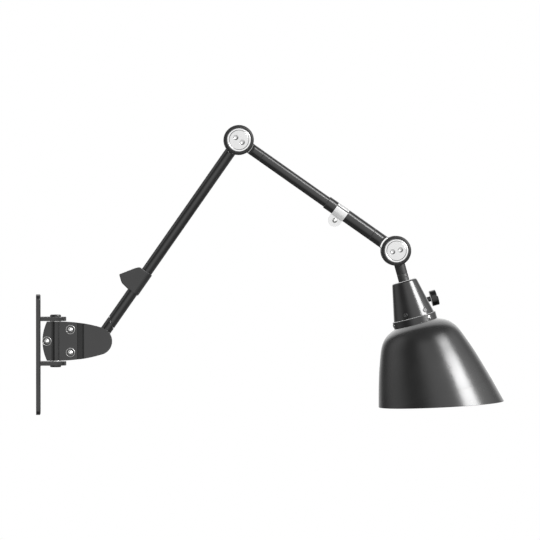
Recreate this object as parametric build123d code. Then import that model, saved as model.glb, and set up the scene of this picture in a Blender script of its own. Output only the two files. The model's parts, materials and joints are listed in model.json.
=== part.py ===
from build123d import *
import math
import os

# Articulating wall lamp. Millimetres, +Z up, +X away from the wall, the arms in the plane Y = 0.
# The origin is the middle of the wall plate's back face. -Y is the front, the side with the bright caps.

# ---------------------------------------------------------------- clearances
running = 0.05              # radial or axial clearance of parts that turn on each other
fitting = 0.1               # clearance of a piece that sits inside another and stays there
overrun = 1.0               # how far a joining or cutting shape reaches past the face it crosses

# ---------------------------------------------------------------- wall plate and hinge
plate_height = 152.0
plate_width = 40.0
plate_thickness = 5.5
plate_corner_radius = 8.0
plate_edge_chamfer = 0.9
wall_screw_spacing = 124.0
wall_screw_hole = 5.5
wall_screw_sink = 10.5

hinge_height = 17.0         # the hinge's middle above the plate's middle
swivel_reach = 24.6         # wall to swivel axis
lug_thickness = 5.0
lug_radius = 13.5
lug_tenon_width = 16.0
swivel_washer_thickness = 0.9
swivel_pin_diameter = 6.0
swivel_head_diameter = 14.0
swivel_head_height = 3.0
swivel_socket_width = 5.0   # hexagon socket, across flats
cap_nut_barrel_diameter = 9.0
cap_nut_head_height = 2.3

# ---------------------------------------------------------------- wing of two bent plates
sheet = 2.5
wing_height = 49.4
wing_plate_gap = 1.0        # between the two plates where they are clamped
wing_back_width = 16.6      # swivel axis back to the plates' rear edge
wing_back_corner = 11.0     # swivel axis back to the rear corners
wing_level = 6.0            # level stretch of the upper edge, past the swivel axis
wing_waist = 2.0            # how far the edge has dropped half way to the tip
wing_tip_radius = 17.4
wing_tip_angle = 78.0       # above level, where the tip's round stretch begins
rib_bend_radius = 2.2
fold_start = 28.2           # first fold line, past the swivel axis
fold_end = 35.5             # second fold line
fold_bend_radius = 2.8
clamp_screw_diameter = 4.0
clamp_head_diameter = 6.4
clamp_head_height = 2.3
clamp_washer_diameter = 11.6
clamp_washer_rim = 1.3
clamp_washer_dish = 0.6
clamp_back_place = 11.1     # swivel axis back to the single screw
clamp_front_place = 18.7    # swivel axis forward to the pair
clamp_pair_spacing = 29.0
clamp_nut_width = 7.0
clamp_nut_height = 2.6
clamp_nut_dome_inset = 0.3

# ---------------------------------------------------------------- lower arm
tilt_reach = 54.1           # swivel axis to tilt axis
tilt_pin_diameter = 8.0
tilt_pin_seat = 1.2         # depth of the pin's seat in each wing plate
eye_radius = 15.0
eye_thickness = 12.4
pad_radius = 12.5
pad_thickness = 0.9
lower_arm_length = 310.7
lower_arm_angle = 55.06     # above level
lower_tube_diameter = 14.1
tube_wall = 1.5
root_seam_place = 28.4      # tilt axis to the seam of root and tube
root_seam_slant = 33.9
spigot_length = 16.0
root_seam_gap = 0.6         # the root's seam face to the tube's, along the arm
seam_chamfer = 0.4
root_bar_gap = 1.0          # friction pads to the arm's round stretch

grip_start = 75.7           # tilt axis to the grip's lower end
grip_length = 31.2
grip_wall = 1.3
grip_rise = 26.8            # arm axis to the fin's corner
grip_corner_run = 8.7       # grip's lower end to the fin's corner
grip_corner_radius = 1.0
grip_foot_run = 1.6         # grip's lower end to the foot of the fin's short side
grip_foot_rise = 18.2
grip_foot_radius = 10.0
grip_crest_run = 4.3        # grip's upper end back to the crest of the fin's long side
grip_crest_rise = 14.7
grip_crest_radius = 6.0
grip_end_rise = 10.7        # arm axis to the fin's end, at the grip's upper end
grip_end_radius = 5.0
grip_edge_radius = 1.0
grip_notch_run = 5.1        # grip's lower end to the thumb notch
grip_notch_rise = 23.6
grip_notch_radius = 0.9
grip_screw_diameter = 4.0
grip_screw_sink = 0.2       # below the grip's rear face

grommet_place = 54.0        # tilt axis to the cable grommet
grommet_diameter = 11.0
grommet_neck_diameter = 8.0
grommet_bore = 5.6
grommet_stand = 2.2
grommet_lip = 0.5           # how far the neck reaches past the tube's wall

# ---------------------------------------------------------------- knuckle joints
cup_radius = 19.0
cup_depth = 12.0            # half of the joint, from its middle plane
cup_base = 3.5
cup_edge_radius = 3.0
cavity_radius = 13.6
cap_radius = 15.0
cap_thickness = 2.8
cap_stand = 0.5             # how far the cap stands out of its cup
cap_groove_radius = 12.8
cap_groove_width = 0.7
cap_groove_depth = 0.45
cap_bevel = 0.6
dimple_spacing = 10.2
dimple_radius = 3.8         # of the ball that cuts it
dimple_depth = 1.9
elbow_dimple_angle = -36.6
head_dimple_angle = 13.5
friction_disc_thickness = 0.5
friction_disc_inset = 0.3   # the disc is this much smaller than the cups
tang_margin = 2.0           # the disc's tang is this much narrower than its arm
elbow_cope_gap = 0.9        # ring to the hollow end of the arm beside it
head_cope_gap = 1.7
scoop_start = 2.5           # where the hollow end begins to flare, in front of the middle plane
scoop_flare = 4.6
boss_diameter = 5.7
boss_reach = 2.0            # past the cup's wall
boss_root = 3.0             # inside the cup's wall
boss_rise = 0.9             # above the crest of the arm
pivot_diameter = 10.0
pivot_bore = 6.0
pivot_head_diameter = 17.0
pivot_head_height = 3.0
spring_outer_radius = 9.0
spring_thickness = 0.8
spring_rise = 0.5
pivot_nut_width = 15.0
pivot_end_gap = 0.2         # bolt's end to the cap
pivot_nut_gap = 0.3         # nut to the cap

# ---------------------------------------------------------------- upper arm and its sleeve
upper_arm_length = 244.4
upper_arm_angle = -35.1     # below level
upper_tube_diameter = 14.2
elbow_stub_length = 36.0    # elbow axis to the groove
sleeve_diameter = 16.6
sleeve_start = 136.9        # elbow axis to the sleeve's mouth
head_stub_length = 36.8     # head joint axis to the groove
head_spigot_length = 9.0
tube_end_gap = 1.0          # upper tube to the spigot in the sleeve
sleeve_slit_width = 1.6
sleeve_slit_length = 36.0
band_place = 158.4          # elbow axis to the middle of the band
band_width = 16.7
band_thickness = 0.8
ear_reach = 13.0            # arm axis to the screw in the ears
ear_gap = 1.2
band_screw_diameter = 4.0
band_head_diameter = 6.6
band_head_height = 2.2
band_nut_width = 7.0
band_nut_height = 3.2
hex_socket_width = 2.5

# ---------------------------------------------------------------- lamp head, places along its own axis
head_lean = 15.4            # from straight down, away from the wall
neck_diameter = 13.9
neck_stub_length = 30.6     # head joint axis to the neck's groove
housing_start = 40.0
housing_length = 47.0
housing_top_radius = 15.8
housing_bottom_radius = 26.4
housing_edge_radius = 2.5
housing_wall = 1.8
nipple_diameter = 10.0
nipple_bore = 6.4
nipple_embed = 8.0          # how deep the nipple sits in the neck and in the lampholder
nipple_nut_width = 14.0
nipple_nut_height = 3.0
set_screw_diameter = 3.0
set_screw_angle = 32.0      # round the neck, from the front towards the knob
set_screw_stand = 0.2       # above the neck collar
flange_radius = 28.2
flange_length = 9.2
flange_wall = 2.0
flange_web = 2.0
flange_spigot_length = 9.0
flange_bore = 20.6
housing_screw_diameter = 5.5
housing_screw_head = 1.0
housing_screw_edge = 0.3
housing_screw_shank = 2.5
housing_screw_place = 5.4   # above the housing's lower edge
housing_screw_angles = (33.5, -27.0, 153.0, -146.5)
flange_screw_diameter = 6.3
flange_screw_head = 1.2
flange_screw_shank = 3.0
flange_screw_socket = 2.2
flange_screw_angles = (37.0, 157.0, 277.0)
slot_width = 0.8

shade_wall = 1.2
shade_neck_wall = 1.5
shade_start_radius = 27.4
shade_rim_place = 202.6     # where the rim's plane cuts the axis
shade_rim_slant = 12.45
shade_start_slope = 68.0    # of the shade's outer curve, against its axis
shade_curve = (             # (run past the flange, radius)
    (3.6, 36.0), (9.6, 44.1), (17.6, 49.8), (31.6, 55.7), (51.9, 62.8), (90.0, 73.7), (130.0, 83.5))
shade_end_slope = 13.6

holder_gap = 1.0            # nipple nut to the lampholder
holder_top_radius = 9.5
holder_switch_radius = 14.8
holder_socket_radius = 18.0
holder_shoulder = 9.0       # length of the narrow top
holder_socket_start = 86.0
holder_taper_back = 4.0     # the socket's floor back to where the body widens
holder_taper_length = 3.0
holder_end = 118.0
socket_radius = 13.25       # inside the screw shell
shell_wall = 0.8
shell_end_gap = 2.0
contact_radius = 5.0
contact_thickness = 0.9

switch_place = 70.7
switch_body_radius = 6.0
switch_body_depth = 10.0
switch_shaft_radius = 2.0
knob_hub_radius = 3.35
knob_hub_inner = 20.4       # head axis to the hub's inner end
knob_head_inner = 26.7
knob_head_radius = 10.0
knob_head_thickness = 8.2
knob_step = 1.0
knob_step_place = -1.6      # where the raised half of the face starts
knob_edge_radius = 0.8

# ---------------------------------------------------------------- places worked out from the sizes
swivel_gap = swivel_washer_thickness + 2 * running
wing_bottom = hinge_height - wing_height / 2
wing_top = hinge_height + wing_height / 2
upper_lug_bottom = wing_top + swivel_gap
lower_lug_top = wing_bottom - swivel_gap
pin_radius = swivel_pin_diameter / 2
flat_middle = wing_plate_gap / 2 + sheet / 2
plate_face = wing_plate_gap / 2 + sheet
fork_half = eye_thickness / 2 + pad_thickness + 2 * running
fold_middle = fork_half + sheet / 2
tilt_place = swivel_reach + tilt_reach
lower_tube_radius = lower_tube_diameter / 2
upper_tube_radius = upper_tube_diameter / 2
sleeve_radius = sleeve_diameter / 2
neck_radius = neck_diameter / 2
half_gap = friction_disc_thickness / 2 + running
pivot_radius = pivot_diameter / 2
cavity_top = cup_depth + cap_stand - cap_thickness
housing_end = housing_start + housing_length
flange_end = housing_end + flange_length
housing_slope = math.degrees(math.atan2(housing_bottom_radius - housing_top_radius, housing_length))
nipple_radius = nipple_diameter / 2
nipple_nut_start = housing_start + housing_wall + fitting
holder_start = nipple_nut_start + nipple_nut_height + holder_gap
shade_neck_radius = flange_radius - flange_wall - fitting

tilt_axis_point = Vector(tilt_place, 0, hinge_height)
elbow_point = tilt_axis_point + Vector(
    lower_arm_length * math.cos(math.radians(lower_arm_angle)), 0,
    lower_arm_length * math.sin(math.radians(lower_arm_angle)))
head_point = elbow_point + Vector(
    upper_arm_length * math.cos(math.radians(upper_arm_angle)), 0,
    upper_arm_length * math.sin(math.radians(upper_arm_angle)))


def frame_at(point, angle):
    """Local frame in the arm plane: x at this angle above level, z towards the front."""
    along = (math.cos(math.radians(angle)), 0, math.sin(math.radians(angle)))
    return Plane(origin=point, x_dir=along, z_dir=(0, -1, 0)).location


root_frame = frame_at(tilt_axis_point, lower_arm_angle)
elbow_back_frame = frame_at(elbow_point, 180 + lower_arm_angle)
elbow_frame = frame_at(elbow_point, upper_arm_angle)
head_back_frame = frame_at(head_point, 180 + upper_arm_angle)
head_frame = frame_at(head_point, head_lean - 90)


# ---------------------------------------------------------------- shared shapes
def rod(radius, start, end):
    """Round bar along x."""
    return Pos((start + end) / 2, 0, 0) * Rot(0, 90, 0) * Cylinder(radius, end - start)


def disc(radius, bottom, top, x=0.0, y=0.0):
    """Round bar along z."""
    return Pos(x, y, (bottom + top) / 2) * Cylinder(radius, top - bottom)


def block(x_range, y_range, z_range):
    """Box between pairs of limits."""
    sizes = [high - low for low, high in (x_range, y_range, z_range)]
    middle = [(high + low) / 2 for low, high in (x_range, y_range, z_range)]
    return Pos(*middle) * Box(*sizes)


def hexagon(width, bottom, top, x=0.0, y=0.0):
    """Hexagonal bar along z, its width across flats."""
    profile = RegularPolygon(width / 2, 6, major_radius=False)
    return Pos(x, y, bottom) * extrude(profile, top - bottom)


def turned(outline):
    """Body turned about x from an outline of (place, radius) points."""
    return revolve(make_face(Polyline(*outline, close=True)), Axis.X, 360)


def outer_edges(solid, place, radius):
    """Round edges about z at this height and radius."""
    rings = solid.edges().filter_by(GeomType.CIRCLE)
    return [edge for edge in rings
            if abs(edge.radius - radius) < 1e-3 and abs(edge.center().Z - place) < 1e-3]


def rounded_disc(radius, bottom, top, edge_radius):
    """Disc along z with both rims rounded."""
    body = disc(radius, bottom, top)
    return fillet(body.edges().filter_by(GeomType.CIRCLE), edge_radius)


def dome_head(radius, height, socket_width):
    """Button head on z = 0 with a hexagon socket."""
    ball_radius = (radius ** 2 + height ** 2) / (2 * height)
    head = Pos(0, 0, height - ball_radius) * Sphere(ball_radius)
    head = head & disc(radius, 0, height)
    return head - hexagon(socket_width, height / 2, height + 1)


def together(pieces):
    """One node of several shapes, which may stand apart."""
    whole = pieces[0]
    for piece in pieces[1:]:
        whole = whole + piece
    return whole


# ---------------------------------------------------------------- wall side
def wall_plate():
    outline = RectangleRounded(plate_width, plate_height, plate_corner_radius)
    plate = extrude(Plane.YZ * outline, plate_thickness)
    front = plate.faces().sort_by(Axis.X)[-1]
    plate = chamfer(front.edges(), plate_edge_chamfer)
    for height in (-wall_screw_spacing / 2, wall_screw_spacing / 2):
        hole = Pos(0, 0, height) * rod(wall_screw_hole / 2, 0, plate_thickness)
        sink_depth = (wall_screw_sink - wall_screw_hole) / 2
        sink = Pos(plate_thickness - sink_depth / 2, 0, height) * Rot(0, 90, 0) * Cone(
            wall_screw_hole / 2, wall_screw_sink / 2, sink_depth)
        plate = plate - hole - sink
    for bottom in (upper_lug_bottom, lower_lug_top - lug_thickness):
        plate = plate - lug_tenon(bottom)
    return plate


def lug_tenon(bottom):
    """Stretch of a lug that is riveted through the wall plate."""
    half = lug_tenon_width / 2
    return block((0, plate_thickness), (-half, half), (bottom, bottom + lug_thickness))


def hinge_lug(bottom, hole_radius):
    top = bottom + lug_thickness
    lug = disc(lug_radius, bottom, top, x=swivel_reach)
    lug = lug + block((plate_thickness, swivel_reach), (-lug_radius, lug_radius), (bottom, top))
    lug = lug + lug_tenon(bottom)
    return lug - disc(hole_radius, bottom, top, x=swivel_reach)


def swivel_pin():
    seat = upper_lug_bottom + lug_thickness
    top = seat + swivel_head_height
    head = disc(swivel_head_diameter / 2, seat, top)
    head = fillet(outer_edges(head, top, swivel_head_diameter / 2), swivel_head_height / 2)
    pin = head + disc(pin_radius, lower_lug_top - lug_thickness + fitting, seat)
    pin = pin - hexagon(swivel_socket_width, top - swivel_head_height / 2, top)
    return Pos(swivel_reach, 0, 0) * pin


def swivel_cap_nut():
    seat = lower_lug_top - lug_thickness
    bottom = seat - cap_nut_head_height
    head = disc(swivel_head_diameter / 2, bottom, seat)
    head = fillet(outer_edges(head, bottom, swivel_head_diameter / 2), cap_nut_head_height / 2)
    barrel = disc(cap_nut_barrel_diameter / 2 - running, seat, lower_lug_top)
    nut = head + barrel - disc(pin_radius + running, seat + fitting / 2, lower_lug_top)
    return Pos(swivel_reach, 0, 0) * nut


def swivel_washers():
    washers = []
    for bottom in (wing_top + running, lower_lug_top + running):
        top = bottom + swivel_washer_thickness
        ring = disc(swivel_head_diameter / 2, bottom, top)
        washers.append(Pos(swivel_reach, 0, 0) * (ring - disc(pin_radius + running, bottom, top)))
    return together(washers)


# ---------------------------------------------------------------- wing
def clamp_places():
    """(x, z) of the three clamp screws."""
    pair = swivel_reach + clamp_front_place
    return [(swivel_reach - clamp_back_place, hinge_height),
            (pair, hinge_height - clamp_pair_spacing / 2),
            (pair, hinge_height + clamp_pair_spacing / 2)]


def wing_section():
    """Plan of the rear plate: flat, half round over the swivel pin, flat, folded out to the fork."""
    rib_middle = pin_radius + running + sheet / 2
    rise = flat_middle + rib_bend_radius
    run = math.sqrt((rib_middle + rib_bend_radius) ** 2 - rise ** 2)
    lean = math.degrees(math.atan2(rise, run))
    back = swivel_reach - wing_back_width - overrun
    tip = tilt_place + wing_tip_radius + overrun
    first = swivel_reach + fold_start
    second = swivel_reach + fold_end
    bends = [
        Line((back, flat_middle), (swivel_reach - run, flat_middle)),
        CenterArc((swivel_reach - run, rise), rib_bend_radius, -90, 90 - lean),
        CenterArc((swivel_reach, 0), rib_middle, 180 - lean, 2 * lean - 180),
        CenterArc((swivel_reach + run, rise), rib_bend_radius, 180 + lean, 90 - lean),
        FilletPolyline(
            (swivel_reach + run, flat_middle), (first, flat_middle),
            (second, fold_middle), (tip, fold_middle), radius=fold_bend_radius),
    ]
    return trace(Curve() + bends, line_width=sheet)


def wing_outline():
    """Side view of a wing plate, a block through both plates."""
    half = wing_height / 2
    back = swivel_reach - wing_back_width
    corner = swivel_reach - wing_back_corner
    level_end = swivel_reach + wing_level
    lean = math.radians(wing_tip_angle)
    tip = (tilt_place + wing_tip_radius * math.cos(lean), wing_tip_radius * math.sin(lean))
    middle = ((level_end + tip[0]) / 2, half - wing_waist)
    far = tilt_place + wing_tip_radius
    edges = [
        ThreePointArc((corner, -half), (back, 0), (corner, half)),
        Line((corner, half), (level_end, half)),
        ThreePointArc((level_end, half), middle, tip),
        ThreePointArc(tip, (far, 0), (tip[0], -tip[1])),
        ThreePointArc((tip[0], -tip[1]), (middle[0], -middle[1]), (level_end, -half)),
        Line((level_end, -half), (corner, -half)),
    ]
    side = make_face(Curve() + edges)
    return Pos(0, 0, hinge_height) * extrude(Plane.XZ * side, 2 * fold_middle, both=True)


def wing_plate_rear():
    plate = Pos(0, 0, wing_bottom) * extrude(wing_section(), wing_height)
    plate = plate & wing_outline()
    for x, z in clamp_places():
        plate = plate - Pos(x, 0, z) * Rot(90, 0, 0) * disc(
            clamp_screw_diameter / 2 + fitting, -2 * plate_face, 2 * plate_face)
    seat = disc(tilt_pin_diameter / 2 + running, 0, fork_half + tilt_pin_seat)
    return plate - Pos(tilt_place, 0, hinge_height) * Rot(-90, 0, 0) * seat


def wing_plate_front():
    return mirror(wing_plate_rear(), about=Plane.XZ)


def at_clamp(shape):
    """Put one copy of a shape, made along z towards the front, at each clamp screw."""
    return together([Pos(x, 0, z) * Rot(90, 0, 0) * shape for x, z in clamp_places()])


def clamp_screws():
    seat = plate_face + clamp_washer_dish
    head = Pos(0, 0, seat) * dome_head(clamp_head_diameter / 2, clamp_head_height, hex_socket_width)
    end = plate_face + clamp_washer_dish + clamp_nut_height
    return at_clamp(head + disc(clamp_screw_diameter / 2, -end, seat))


def clamp_washers():
    hole = disc(clamp_screw_diameter / 2 + fitting, -2 * plate_face, 2 * plate_face)
    radius = clamp_washer_diameter / 2
    dished = disc(radius, plate_face, plate_face + clamp_washer_rim)
    dished = chamfer(outer_edges(dished, plate_face + clamp_washer_rim, radius), clamp_washer_dish / 2)
    dish_radius = radius - clamp_washer_dish
    dished = dished - disc(dish_radius, plate_face + clamp_washer_dish, plate_face + 2 * clamp_washer_rim)
    plain = disc(clamp_washer_diameter / 2 - 1, -plate_face - clamp_washer_dish, -plate_face)
    return at_clamp(dished + plain - hole)


def clamp_nuts():
    top = -plate_face - clamp_washer_dish
    bottom = top - clamp_nut_height
    nut = hexagon(clamp_nut_width, bottom, top)
    dome = dome_cap(clamp_nut_width / 2 - clamp_nut_dome_inset, clamp_nut_height / 2)
    cap = Pos(0, 0, bottom) * Rot(180, 0, 0) * dome
    return at_clamp(nut + cap - disc(clamp_screw_diameter / 2, bottom, top))


def dome_cap(radius, height):
    """Plain dome on z = 0."""
    ball_radius = (radius ** 2 + height ** 2) / (2 * height)
    return (Pos(0, 0, height - ball_radius) * Sphere(ball_radius)) & disc(radius, 0, height)


def tilt_pin():
    half = fork_half + tilt_pin_seat - running
    return root_frame * disc(tilt_pin_diameter / 2, -half, half)


def friction_pads():
    pads = []
    inner = eye_thickness / 2 + running
    for bottom in (inner, -inner - pad_thickness):
        pads.append(disc(pad_radius, bottom, bottom + pad_thickness))
    pads = together(pads) - disc(tilt_pin_diameter / 2 + running, -fork_half, fork_half)
    return root_frame * pads


# ---------------------------------------------------------------- lower arm
def seam_block(side):
    """Half space before (-1) or past (+1) the slanting seam of the lower arm."""
    size = 2 * lower_arm_length
    place = root_seam_place + (root_seam_gap if side < 0 else 0)
    return Pos(place, 0, 0) * Rot(0, 0, -root_seam_slant) * block(
        (min(0, side * size), max(0, side * size)), (-size, size), (-size, size))


def lower_arm_root():
    eye = disc(eye_radius, -eye_thickness / 2, eye_thickness / 2)
    bar = rod(lower_tube_radius, pad_radius + root_bar_gap, 2 * root_seam_place) - seam_block(1)
    bar = chamfer(bar.edges().filter_by(GeomType.ELLIPSE), seam_chamfer)
    spigot = rod(lower_tube_radius - tube_wall - running, root_seam_place / 2,
                 root_seam_place + spigot_length)
    root = eye + bar + spigot
    return root_frame * (root - disc(tilt_pin_diameter / 2 + running, -fork_half, fork_half))


def lower_arm_tube():
    tube = rod(lower_tube_radius, 0, lower_arm_length) - seam_block(-1)
    tube = chamfer(tube.edges().filter_by(GeomType.ELLIPSE), seam_chamfer)
    tube = tube - rod(lower_tube_radius - tube_wall, 0, lower_arm_length)
    reach = 2 * cup_depth
    tube = tube - disc(cup_radius, -half_gap, reach, x=lower_arm_length)
    tube = tube - disc(cup_radius + elbow_cope_gap, -reach, -half_gap, x=lower_arm_length)
    tube = tube - Pos(lower_arm_length, 0, 0) * Rot(0, 0, 180) * boss(lower_tube_radius)
    tube = tube - grommet_neck()
    return root_frame * tube


def grip_outline():
    """Side view of the grip's fin, from the arm axis out, with rounded corners."""
    end = grip_start + grip_length
    wrap = lower_tube_radius + grip_wall
    corners = [
        (grip_start, wrap, grip_crest_radius),
        (grip_start + grip_foot_run, grip_foot_rise, grip_foot_radius),
        (grip_start + grip_corner_run, grip_rise, grip_corner_radius),
        (end - grip_crest_run, grip_crest_rise, grip_crest_radius),
        (end, grip_end_rise, grip_end_radius),
    ]
    points = [(grip_start, 0)] + [(x, y) for x, y, radius in corners] + [(end, 0)]
    face = make_face(Polyline(*points, close=True))
    for x, y, radius in corners:
        corner = [spot for spot in face.vertices() if math.hypot(spot.X - x, spot.Y - y) < 1e-3]
        face = fillet(corner, radius)
    return face


def grip_screw_place():
    """Grub screw of the grip, in from its rear face."""
    wrap = lower_tube_radius + grip_wall
    return Pos(grip_start + grip_length / 2, 0, -wrap)


def arm_grip():
    wrap = lower_tube_radius + grip_wall
    fin = extrude(grip_outline(), wrap, both=True)
    fin_faces = [face for face in fin.faces() if abs(abs(face.center().Z) - wrap) < 1e-3]
    rims = [edge for face in fin_faces for edge in face.edges()
            if edge.center().Y > wrap / 2 and edge.length < grip_length]
    fin = fillet(rims, grip_edge_radius)
    notch = disc(grip_notch_radius, -2 * wrap, 2 * wrap,
                 x=grip_start + grip_notch_run, y=grip_notch_rise)
    grip = fin - notch + rod(wrap, grip_start, grip_start + grip_length)
    grip = grip - rod(lower_tube_radius + running, grip_start - overrun, grip_start + grip_length + overrun)
    hole = disc(grip_screw_diameter / 2 + running, -overrun, grip_wall + overrun)
    grip = grip - grip_screw_place() * hole
    return root_frame * grip


def grip_screw():
    screw = disc(grip_screw_diameter / 2, grip_screw_sink, grip_wall)
    screw = screw - hexagon(grip_screw_diameter / 2, grip_screw_sink, grip_wall / 2)
    return root_frame * (grip_screw_place() * screw)


def grommet_neck():
    """Hole for the grommet in the tube's rear wall."""
    bottom = -lower_tube_radius - overrun
    return disc(grommet_neck_diameter / 2, bottom, -lower_tube_radius / 2, x=grommet_place)


def cable_grommet():
    bottom = -lower_tube_radius - grommet_stand
    flange = disc(grommet_diameter / 2, bottom, -lower_tube_radius / 3, x=grommet_place)
    flange = flange - rod(lower_tube_radius, 0, lower_arm_length)
    inner = -lower_tube_radius + tube_wall + grommet_lip
    neck = disc(grommet_neck_diameter / 2 - running, bottom / 2 + inner / 2, inner, x=grommet_place)
    grommet = flange + neck - disc(grommet_bore / 2, bottom, inner, x=grommet_place)
    return root_frame * grommet


# ---------------------------------------------------------------- knuckle joints
def boss(tube_radius):
    """Rounded boss on the cup's wall, above the arm's crest."""
    radius = boss_diameter / 2
    end = cup_radius + boss_reach - radius
    height = tube_radius - radius + boss_rise
    return Pos(0, 0, height) * (rod(radius, cup_radius - boss_root, end) + Pos(end, 0, 0) * Sphere(radius))


def cup_half(stub_radius, stub_end, spigot_radius, spigot_end, cope_gap, scooped):
    """Front half of a knuckle: a cup in front of the middle plane with its arm's stub along x."""
    cup = disc(cup_radius, half_gap, cup_depth)
    cup = fillet(outer_edges(cup, cup_depth, cup_radius), cup_edge_radius)
    if stub_end > cup_radius + cope_gap:
        stub = rod(stub_radius, cavity_radius, stub_end)
        ends = stub.faces().sort_by(Axis.X)[-1].edges()
        stub = chamfer(ends, seam_chamfer)
        stub = stub - disc(cup_radius + cope_gap, -2 * cup_depth, half_gap)
        if scooped:
            flare = cup_depth - scoop_start
            cone = Cone(cup_radius + cope_gap + scoop_flare * flare / stub_radius,
                        cup_radius + cope_gap, flare)
            stub = stub - Pos(0, 0, -scoop_start - flare / 2) * cone
        cup = cup + stub
    else:
        cup = cup + boss(stub_radius)
    cup = cup + spigot(spigot_radius, max(stub_end, cavity_radius), spigot_end, cope_gap)
    cup = cup - disc(cavity_radius, half_gap + cup_base, 2 * cup_depth)
    cup = cup - disc(cap_radius + running, cavity_top, 2 * cup_depth)
    return cup - disc(pivot_radius + running, -cup_depth, 2 * cup_depth)


def spigot(radius, start, end, cope_gap):
    """Plug that the arm's tube slides on, clear of the other half of the joint."""
    plug = rod(radius, start - overrun, end)
    return plug - disc(cup_radius + cope_gap, -2 * cup_depth, half_gap)


def cable_way(radius, end):
    """Bore for the cable, from the cup's cavity into the arm."""
    return rod(radius, cavity_radius - 2 * overrun, end)


def spanner_cap(dimple_angle):
    bottom = cavity_top + running
    top = cup_depth + cap_stand
    cap = disc(cap_radius - running, bottom, top)
    cap = chamfer(outer_edges(cap, top, cap_radius - running), cap_bevel)
    groove = disc(cap_groove_radius, top - cap_groove_depth, top + overrun)
    cap = cap - (groove - disc(cap_groove_radius - cap_groove_width, 0, 2 * top))
    ball = Pos(dimple_spacing / 2, 0, top - dimple_depth + dimple_radius) * Sphere(dimple_radius)
    for turn in (dimple_angle, dimple_angle + 180):
        cap = cap - Rot(0, 0, turn) * ball
    return cap


def pivot_bolt():
    seat = -half_gap - cup_base
    bolt = disc(pivot_radius, seat, cavity_top - pivot_end_gap)
    bolt = bolt + disc(pivot_head_diameter / 2, seat - pivot_head_height, seat)
    return bolt - disc(pivot_bore / 2, -2 * cup_depth, 2 * cup_depth)


def disc_springs():
    """Two dished washers, back to back, between the front cup's base and the nut."""
    seat = half_gap + cup_base
    inner = pivot_radius + running
    rise = spring_rise
    middle = seat + spring_thickness + rise
    washers = []
    for first, last in ((seat + rise, seat), (middle, middle + rise)):
        outline = [(inner, first), (spring_outer_radius, last),
                   (spring_outer_radius, last + spring_thickness), (inner, first + spring_thickness)]
        face = make_face(Polyline(*outline, close=True))
        washers.append(revolve(Plane.XZ * face, Axis.Z, 360))
    return together(washers)


def pivot_nut():
    bottom = half_gap + cup_base + 2 * (spring_thickness + spring_rise) + running
    top = cavity_top - pivot_nut_gap
    return hexagon(pivot_nut_width, bottom, top) - disc(pivot_radius + running, bottom, top)


def friction_disc(cope_gap, arm_diameter):
    """Thin washer between the cups, keyed by a tang to the arm of the rear one."""
    half = friction_disc_thickness / 2
    end = cup_radius + cope_gap - fitting
    tang_half = (arm_diameter - tang_margin) / 2
    tang = block((pivot_radius + overrun, end), (-tang_half, tang_half), (-half, half))
    tang = tang & disc(end, -half, half)
    washer = disc(cup_radius - friction_disc_inset, -half, half) + tang
    return washer - disc(pivot_radius + running, -half, half)


def rear(shape):
    """Turn a front half into a rear half."""
    return mirror(shape, about=Plane.XY)


def elbow_front_cup():
    radius = lower_tube_radius - tube_wall - running
    cup = cup_half(lower_tube_radius, 0, radius, cup_radius + spigot_length, elbow_cope_gap, False)
    return elbow_back_frame * (cup - cable_way(radius / 2, lower_arm_length / 2))


def elbow_rear_cup():
    radius = upper_tube_radius - tube_wall - running
    end = elbow_stub_length + spigot_length
    cup = cup_half(upper_tube_radius, elbow_stub_length, radius, end, elbow_cope_gap, True)
    return elbow_frame * rear(cup - cable_way(radius / 2, end))


def head_rear_cup():
    radius = upper_tube_radius
    end = head_stub_length + head_spigot_length
    cup = cup_half(sleeve_radius, head_stub_length, radius, end, head_cope_gap, True)
    return head_back_frame * rear(cup - cable_way(radius / 2, end))


def head_front_cup():
    cup = cup_half(neck_radius, neck_stub_length, neck_radius / 2, neck_stub_length, head_cope_gap, False)
    cup = cup + boss(neck_radius)
    cup = cup - disc(cavity_radius, half_gap + cup_base, 2 * cup_depth)
    bore = rod(nipple_radius + running, neck_stub_length - nipple_embed, neck_stub_length)
    return head_frame * (cup - bore - cable_way(nipple_bore / 2, neck_stub_length))


# ---------------------------------------------------------------- upper arm and sleeve
def upper_arm_tube():
    end = upper_arm_length - head_stub_length - head_spigot_length - tube_end_gap
    tube = rod(upper_tube_radius, elbow_stub_length, end)
    tube = chamfer(tube.faces().sort_by(Axis.X)[0].edges(), seam_chamfer)
    return elbow_frame * (tube - rod(upper_tube_radius - tube_wall, 0, upper_arm_length))


def upper_arm_sleeve():
    end = upper_arm_length - head_stub_length
    sleeve = rod(sleeve_radius, sleeve_start, end)
    faces = sleeve.faces().sort_by(Axis.X)
    sleeve = chamfer(faces[0].edges() + faces[-1].edges(), seam_chamfer)
    sleeve = sleeve - rod(upper_tube_radius + running, 0, upper_arm_length)
    slit = block((sleeve_start - overrun, sleeve_start + sleeve_slit_length), (-2 * sleeve_radius, 0),
                 (-sleeve_slit_width / 2, sleeve_slit_width / 2))
    return elbow_frame * (sleeve - slit)


def clamp_band():
    inner = sleeve_radius + running
    outer = inner + band_thickness
    start = band_place - band_width / 2
    end = band_place + band_width / 2
    gap_half = ear_gap / 2
    ear_out = gap_half + band_thickness
    band = rod(outer, start, end)
    ears = block((start, end), (-ear_reach, 0), (-ear_out, ear_out))
    ears = ears + disc(band_width / 2, -ear_out, ear_out, x=band_place, y=-ear_reach)
    band = band + ears - rod(inner, start - overrun, end + overrun)
    gap = block((start - overrun, end + overrun), (-ear_reach - band_width, 0), (-gap_half, gap_half))
    band = band - gap
    band = band - disc(band_screw_diameter / 2 + fitting, -outer, outer, x=band_place, y=-ear_reach)
    return elbow_frame * band


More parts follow.
